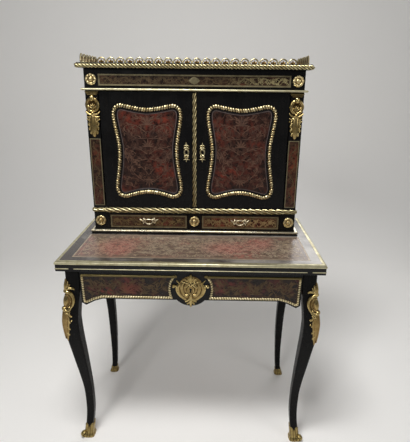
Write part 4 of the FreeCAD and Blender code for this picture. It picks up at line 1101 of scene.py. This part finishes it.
# Pilaster mounts: flared cap, knob, oval shell, winged collar and a broad leaf drop
cap = []
for z, half, thick, lift in ((1250.5, 21.5, 2.4, 2.2), (1246.5, 18.5, 2.8, 1.4), (1242, 14.5, 3.0, 1.0)):
    cap.append(cast([(-half, z, thick), (0, z, thick), (half, z, thick)], lift, 0.8))
knob = cast([(0, 1231.5, 8.6), (0, 1228, 9.0)], 4.4, 0.9)
shell_ground = cast([(0, 1213, 19), (0, 1203, 19)], 0.6, 0.05, 2.0, 0.6)
shell_rim = cast(half_oval(0, 1207, 19.5, 21.5, 5.6, 66, -58), 2.4, 0.95, brown=0.2)
shell_lip = cast(half_oval(0, 1208, 12.5, 14, 2.2, 70, -60), 2.0, brown=0.4)
coil = tendril(3, 1186, 20, 36, 40, 400, 3.8, 2.2)
scroll = np.column_stack([coil, np.tile((3.6, 0.95, 0.0), (len(coil), 1))])
wing = cast([(2, 1173, 4.2), (12, 1176, 4.0), (20, 1181, 3.4), (23.5, 1186, 1.8)], 3.6)
under_wing = cast([(2, 1170, 3.6), (13, 1166, 3.8), (21, 1168, 2.2)], 2.2)
collar = cast([(0, 1180, 5.2), (0, 1176, 5.2)], 4.0)
broad_leaf = [(0, 1166, 10), (0, 1146, 13), (0, 1124, 11.5), (0, 1108, 7.5), (0, 1102, 5)]
ball = cast([(21, 1158, 2.6), (21.2, 1158, 2.6)], 1.6)
drop = [knob, shell_ground, collar, cast(broad_leaf, 1.4, 0.62, brown=0.2)]
drop += both_sides(shell_rim, shell_lip, scroll, wing, under_wing, ball)
for reach, tip in ((0, 1209), (5.5, 1207), (9, 1202)):
    fan = [(0, 1193, 2.4), (0.7 * reach, tip - 4, 2.6), (reach, tip, 1.8)]
    drop += both_sides(cast(fan, 1.8, brown=0.12))
for z, reach in ((1158, 15.5), (1143, 17), (1128, 16), (1114, 12)):
    drop += both_sides(cast([(reach - 5, z + 8, 3.4), (reach - 0.5, z, 4.0), (reach - 1, z - 5, 2.4)], 1.6))
on_pilaster = on_face(FACE, PILASTER_X)
leaf_drop = relief(drop, (-28, 1094), (28, 1244), 0.75, on_pilaster, patina=1.1)
leaf_cap = relief(cap, (-28, 1236), (28, 1256), 0.75, on_pilaster)
# The caps are in the darker gilt: a painted shadow under the head line
piece("pilaster_mount_caps", joined(leaf_cap, mirrored(leaf_cap)), shadowed_cap_gilt, "carcass", GILT, crease=80)
piece("pilaster_leaf_mounts", joined(leaf_drop, mirrored(leaf_drop)), mount_gilt, "carcass", GILT,
      "pilaster_mounts", crease=80)

# Pilaster strips: narrow shell panels in a brass line
strip_left, strip_right = PILASTER_X - 19, PILASTER_X + 19
strip_low, strip_high = STRIP_Z
strip = block(strip_left, strip_right, FACE - 0.4, FACE + 0.4, strip_low, strip_high, 0.1)
piece("pilaster_shell_strips", joined(strip, mirrored(strip)), strip_shell, "carcass", INLAY)
strip_scroll = shifted(turned(running_scroll(232, 24, 7)), PILASTER_X, 850)
strip_lines = line_frame(strip_left, strip_right, strip_low, strip_high, 3.0)
strip_room = rectangle(strip_left + 4, strip_right - 4, 850, 1082)
strip_face = front_plate(FACE - 0.4)
strip_brass, strip_frames = [], []
for over in BOTH_HANDS:
    strip_brass.append(inlay([s * over for s in strip_scroll], strip_face, strip_room * over[:2]))
    strip_frames.append(inlay([s * over for s in strip_lines], strip_face))
piece("pilaster_brass_inlay", joined(*strip_brass), inlay_brass, "carcass", INLAY)
piece("pilaster_brass_frames", joined(*strip_frames), frame_brass, "carcass", INLAY)

# Cabinet sides: a brass string line round each side
side_lines = line_frame(56, 200, 868, 1230, 2.2) + line_frame(61, 195, 873, 1225, 0.8)
right_side = inlay(side_lines, lambda y, z, lift: (np.full(y.shape, BODY_HALF + lift), y, z))
piece("cabinet_side_stringing", joined(right_side, mirrored(right_side)), frame_brass, "carcass", INLAY)

# Pierced gallery: a row of arches on a rail, each with a fan of petals
arch_turn = np.radians(np.linspace(-18, 198, 26))
PETAL_RADII = [1.2, 1.8, 2.8, 3.6, 3.8, 2.9, 0.8]
PETAL_BROWN = 0.5


def gallery_run(length, count):
    """Arches along X from the start of the run, standing on Z 0."""
    pitch = length / count
    forms = [block(0, length, -1.5, 1.5, 0, 4.2), block(0, length, -2.2, 2.2, 0, 1.6)]
    for k in range(count):
        x = (k + 0.5) * pitch
        arch = np.column_stack([0.45 * pitch * np.cos(arch_turn), 9.0 + 18.6 * np.sin(arch_turn)])
        forms.append(rod(upright(arch, 0.0, x), 2.8, 0.75, 8))
        for lean, far in ((0, 18.5), (-34, 16.5), (34, 16.5), (-66, 13), (66, 13)):
            way = math.radians(90 - lean)
            tip = (x + far * math.cos(way), 0, 4.0 + far * math.sin(way))
            points, faces, _ = rod(np.linspace((x, 0, 4.0), tip, len(PETAL_RADII)), PETAL_RADII, 0.45, 8)
            forms.append((points, faces, np.full(len(points), PETAL_BROWN)))
        bead = np.linspace((k * pitch, 0, 2.5), (k * pitch, 0, 11), 5)
        forms.append(rod(bead, [1.0, 2.6, 3.0, 2.3, 0.5], 0.7, 8))
    return joined(*forms)


back_gallery = moved(gallery_run(762, 21), -381, GALLERY_Y, CORNICE_TOP)
points, faces, hollow = gallery_run(196, 6)
right_places = np.column_stack([380 - points[:, 1], 22.5 + points[:, 0], CORNICE_TOP + points[:, 2]])
right_gallery = (right_places, faces, hollow)
gallery = joined(back_gallery, right_gallery, mirrored(right_gallery))
piece("pierced_gallery", gallery, border_gilt, "carcass", GILT, "gallery", crease=50)

# Doors: ribbed border, black fillet, grey-gold line, scroll marquetry and a keyhole mount
border_curve = evenly(smooth_line(both_halves(BORDER_LINE), 1.0, loop=True), 1.2, loop=True)
border_in = inward(border_curve, 3)


def border_inside(inset):
    """Door border line moved in by a distance, smoothed where it crowds in the corners."""
    line = border_curve + inset * border_in
    for _ in range(int(inset)):
        line = (np.roll(line, 1, 0) + 2 * line + np.roll(line, -1, 0)) / 4
    return line


# The ribs swell in threes; the upright runs and the crown are painted browner than the run along the foot, as
# painted shade, since the foot run faces up to the light
rib_line = border_inside(7.3)
rib_path = upright(rib_line, FACE, DOOR_X, DOOR_Z)
rib_ahead, rib_run = along(rib_path, True)
rib_length = rib_run[-1] + np.linalg.norm(rib_path[-1] - rib_path[0])
rib_pitch = rib_length / (round(rib_length / 8.7 / 3) * 3)
rib_sides = 15
crown = np.clip((rib_line[:, 1] - 100) / 40, 0, 1)
shaded_share = np.maximum(np.abs(rib_ahead[:, 2]), 0.62 * crown)
in_threes = 0.5 + 0.5 * np.cos(2 * math.pi * rib_run / (3 * rib_pitch))
rib_depth = (0.2 + 0.36 * shaded_share) * (0.35 + 0.65 * in_threes)
points, faces, hollow = rope(rib_path, TO_FRONT, 7.4, 5, 5 * rib_pitch, rib_depth, slant=0.2, squash=0.85,
                             sink=15, sides=rib_sides, loop=True)
rib_painted_shade = np.repeat(0.22 * shaded_share * in_threes, rib_sides)
ribs = (points, faces, np.clip(hollow + rib_painted_shade, 0, 1))
fillet_rows = []
for inset, proud in ((12.0, 0.1), (12.0, 1.4), (17.5, 1.2), (19.5, 0.5), (19.8, 0.1)):
    fillet_rows.append(upright(border_inside(inset), FACE - proud, DOOR_X, DOOR_Z))
fillet = grid(np.array(fillet_rows).transpose(1, 0, 2), TO_FRONT, loop=True)
door_stems = []
for x, z, heading, length, bend, coil, thick in (
        (0, -112, 24, 178, 55, 440, 1.5), (0, -84, 58, 120, -40, -430, 1.3), (0, -20, -22, 132, 70, 430, 1.4),
        (0, -8, 38, 150, -50, -440, 1.4), (0, 52, -10, 120, 60, 420, 1.3), (0, 64, 46, 156, -60, -440, 1.5),
        (0, 112, 10, 90, 40, 400, 1.2), (46, -130, 20, 90, 30, 400, 1.1), (70, -40, 70, 96, 30, -400, 1.1)):
    door_stems += with_leaves(tendril(x, z, heading, length, bend, coil, thick), 6, 18)
door_room = border_inside(25)
door_sprigs = mirror_strokes(strewn_scrolls(door_room[door_room[:, 0] > -0.5], 33, 50, 0.8, 23))
door_stems = mirror_strokes(door_stems)
door_stems += palmette(0, 96, 36, 90) + palmette(0, -96, 30, -90) + palmette(0, 20, 30, 90)
door_line = ring_stroke(border_inside(21.8), 1.4)
plate = both_sides(cast(half_oval(0, 0, 7.4, 10.5, 2.8), 1.2))
for lift, knots in ((1.2, [(0, 25, 2.4), (0, 30, 1.9), (0, 34, 1.0)]),
                    (1.0, [(0, 24.5, 2.2), (5, 24.2, 2.2), (8.5, 22.5, 1.5)]),
                    (1.0, [(0, 15.5, 2.6), (5.5, 15.5, 2.7), (9, 13.5, 1.9)]),
                    (1.2, [(0, 21, 2.4), (0, 12, 2.4)]),
                    (1.8, [(4.8, -14, 4.2), (5.2, -15.5, 4.0), (1.2, -20.5, 2.4)]),
                    (1.2, [(0, -25.5, 2.4), (5.5, -25, 2.0), (10.5, -26.5, 1.1)]),
                    (1.2, [(0, -20, 2.4), (0, -29, 2.0), (0, -34, 1.0)])):
    plate += both_sides(cast(knots, lift))
keyhole_mount = relief(plate, (-13, -38), (13, 38), 0.5, on_face(FACE, *KEYHOLE_PLATE))

for name, side in (("right", 1), ("left", -1)):
    body = "door_" + name
    piece(body + "_ribbed_border", on_side(ribs, side), border_gilt, body, GILT, body + "_border", crease=70)
    piece(body + "_black_fillet", on_side(fillet, side), long_ebony, body, EBONY, crease=50)
    place = front_plate(FACE, side * DOOR_X, DOOR_Z)
    piece(body + "_brass_inlay", inlay(door_sprigs, place, door_room), door_inlay_brass, body, INLAY)
    over_sprigs = front_plate(FACE - 0.17, side * DOOR_X, DOOR_Z)
    piece(body + "_brass_scrolls", inlay(door_stems, over_sprigs, door_room), door_scroll_brass, body, INLAY)
    piece(body + "_brass_line", inlay([door_line], place), door_line_brass, body, INLAY)
    piece(body + "_keyhole_mount", on_side(keyhole_mount, side), border_gilt, body, GILT,
          body + "_escutcheon", crease=80)

meeting_path = np.linspace((0.7, FACE, 845), (0.7, FACE, 1250), 300)
meeting_rope = rope(meeting_path, TO_FRONT, 7.5, 3, 68.7, 0.46, 1.25)
piece("meeting_rope_twist", meeting_rope, meeting_gilt, "door_right", GILT, "astragal", crease=70)

# Small drawers: shell front in a dull brass frame, leaf handle with a swinging bail
x0, x1, z0, z1 = SMALL_DRAWER
small_plate = SMALL_FACE - 0.6
front_shell = block(x0, x1, small_plate, SMALL_FACE + 0.6, z0, z1, 0.15)
drawer_middle = ((x0 + x1) / 2, (z0 + z1) / 2)
half_wide, half_high = (x1 - x0) / 2, (z1 - z0) / 2
small_scrolls = mirror_strokes(running_scroll(half_wide - 12, 32, 5))
small_room = rectangle(10 - half_wide, half_wide - 10, 10 - half_high, half_high - 10)
small_scrolls += strewn_scrolls(small_room, 21, 30, 0.7, 7)
small_frame = line_frame(1 - half_wide, half_wide - 1, 1 - half_high, half_high - 1, 5.0)
small_lines = line_frame(9 - half_wide, half_wide - 9, 9 - half_high, half_high - 9, 0.9)

handle_x, handle_z = HANDLE
wings = both_sides(cast([(19, 0, 3.4), (19.5, 0, 3.4)], 1.0, 0.8))
for lift, knots in ((2.2, [(13.5, -7, 1.8), (17, -13, 2.4), (20.5, -14.5, 2.4), (24.5, -8.5, 2.7),
                           (29, -4.5, 2.5), (34, -1.5, 1.3)]),
                    (1.6, [(15, -3, 1.6), (19.5, -5, 2.0), (25, -8, 1.6)]),
                    (1.6, [(20, -14, 2.2), (22.5, -18.5, 1.2)])):
    wings += both_sides(cast(knots, lift, 0.95))
handle_mount = [relief(wings, (-42, -22), (42, 12), 0.5, on_face(small_plate, *HANDLE))]
bail_bend = [(-0.8, -0.6), (7.5, -1.0), (12.8, -4.5), (13.6, -10.0), (9.5, -16.0), (0.0, -18.8),
             (-9.5, -16.0), (-13.6, -10.0), (-12.8, -4.5), (-7.5, -1.0), (0.8, -0.6)]
bail_line = smooth_line(bail_bend, 0.9)
swell = np.interp(bail_line[:, 1], [-18.8, -10.0, 0.0], [2.1, 1.8, 1.4])
bail_ring = [rod(upright(bail_line, BAIL_Y, *HANDLE), swell, 1.0, 12)]
for side in (-1, 1):
    x = handle_x + side * 19.1
    post = np.linspace((x, SMALL_FACE, handle_z), (x, BAIL_Y - 4.0, handle_z), 9)
    handle_mount.append(rod(post, [4.2, 3.4, 2.6, 2.6, 3.0, 3.6, 3.5, 2.8, 0.8], 1.0, 14, (1, 0, 0)))
    for near, far, radii in ((11, 21.6, 1.45), (10.2, 13.8, [0.8, 1.9, 2.1, 1.9, 0.8])):
        pin = [(handle_x + side * reach, BAIL_Y, handle_z) for reach in np.linspace(near, far, 5)]
        bail_ring.append(rod(pin, radii, 1.0, 12))
handle_mount, bail_ring = joined(*handle_mount), joined(*bail_ring)

for name, side in (("right", 1), ("left", -1)):
    body = "small_drawer_" + name
    piece(body + "_shell", on_side(front_shell, side), drawer_shell, body, INLAY)
    place = front_plate(small_plate, side * drawer_middle[0], drawer_middle[1])
    small_brass = joined(inlay(small_lines, place), inlay(small_scrolls, place, small_room))
    piece(body + "_brass_inlay", small_brass, bright_inlay_brass, body, INLAY)
    piece(body + "_brass_frame", inlay(small_frame, place), frame_brass, body, INLAY)
    piece(body + "_handle_mount", on_side(handle_mount, side), pale_gilt, body, GILT, body + "_handle",
          crease=70)
    piece("bail_" + name + "_ring", on_side(bail_ring, side), pale_gilt, "bail_" + name, GILT, body + "_bail",
          crease=70)


# Stage, light and camera

# The floor bends up into a wall behind the desk
BEND_Y, BEND_RADIUS, FLOOR_REACH, FLOOR_HALF = 1400.0, 900.0, 5000.0, 12000.0
bend = np.linspace(0.1, math.pi / 2, 14)
sweep = [(-FLOOR_REACH, 0.0), (BEND_Y, 0.0)]
sweep += [(BEND_Y + BEND_RADIUS * math.sin(t), BEND_RADIUS - BEND_RADIUS * math.cos(t)) for t in bend]
sweep.append((BEND_Y + BEND_RADIUS, FLOOR_REACH))
backdrop = np.array([[(x, y, z) for y, z in sweep] for x in (-FLOOR_HALF, FLOOR_HALF)])
points, faces, _ = grid(backdrop, (0, 0, 1))
floor_mesh = bpy.data.meshes.new("studio_floor")
floor_mesh.from_pydata((points / 1000).tolist(), [], faces)
floor_mesh.materials.append(pale_paint("matt_pale_paint"))
floor_mesh.polygons.foreach_set("use_smooth", [True] * len(floor_mesh.polygons))
floor = bpy.data.objects.new("studio_floor", floor_mesh)
bpy.context.collection.objects.link(floor)

world = bpy.data.worlds.new("soft_studio")
bpy.context.scene.world = world
world.use_nodes = True
world.node_tree.nodes["Background"].inputs["Color"].default_value = tone("E6E8EA")
world.node_tree.nodes["Background"].inputs["Strength"].default_value = 0.18


def softbox(name, place, target, size, power):
    lamp = bpy.data.lights.new(name, "AREA")
    lamp.shape = "RECTANGLE"
    lamp.size, lamp.size_y = size
    lamp.energy = power
    made = bpy.data.objects.new(name, lamp)
    made.visible_camera = False
    bpy.context.collection.objects.link(made)
    made.location = place
    made.rotation_euler = (Vector(target) - Vector(place)).to_track_quat("-Z", "Y").to_euler()


softbox("ceiling_softbox", (-0.3, -0.85, 3.0), (0.0, 0.0, 0.7), (0.9, 0.6), 56)
softbox("key_softbox", (-1.0, -2.5, 2.4), (0.0, 0.0, 0.8), (0.7, 0.6), 20)
softbox("fill_softbox", (2.3, -1.6, 1.9), (0.0, 0.0, 0.8), (1.2, 1.2), 10)
softbox("rear_window_right", (1.0, 1.65, 1.55), (0.3, 0.0, 0.74), (1.2, 0.36), 6.5)
softbox("rear_window_left", (-1.15, 1.65, 1.25), (-0.3, 0.0, 0.74), (1.0, 0.5), 0.7)

# Camera fitted to the photograph: place in metres, angles in degrees, focal length and centre in pixels
CAMERA_PLACE = (0.0729, -1.3916, 1.2738)
YAW, PITCH, ROLL = (math.radians(angle) for angle in (-0.615, 17.276, -0.634))
FOCAL, CENTRE, PICTURE = 399.71, (209.87, 210.35), (410, 442)
forward = Vector((math.sin(YAW) * math.cos(PITCH), math.cos(YAW) * math.cos(PITCH), -math.sin(PITCH)))
level = Vector((math.cos(YAW), -math.sin(YAW), 0))
down = forward.cross(level)
right = math.cos(ROLL) * level + math.sin(ROLL) * down
low = -math.sin(ROLL) * level + math.cos(ROLL) * down
lens = bpy.data.cameras.new("view_camera")
lens.sensor_fit = "VERTICAL"
lens.sensor_height = 24
lens.lens = FOCAL / PICTURE[1] * lens.sensor_height
lens.shift_x = (PICTURE[0] / 2 - CENTRE[0]) / PICTURE[1]
lens.shift_y = (CENTRE[1] - PICTURE[1] / 2) / PICTURE[1]
camera = bpy.data.objects.new("view_camera", lens)
bpy.context.collection.objects.link(camera)
camera.matrix_world = Matrix.Translation(CAMERA_PLACE) @ Matrix((right, -low, -forward)).transposed().to_4x4()
bpy.context.scene.camera = camera
bpy.context.scene.view_settings.view_transform = "Standard"
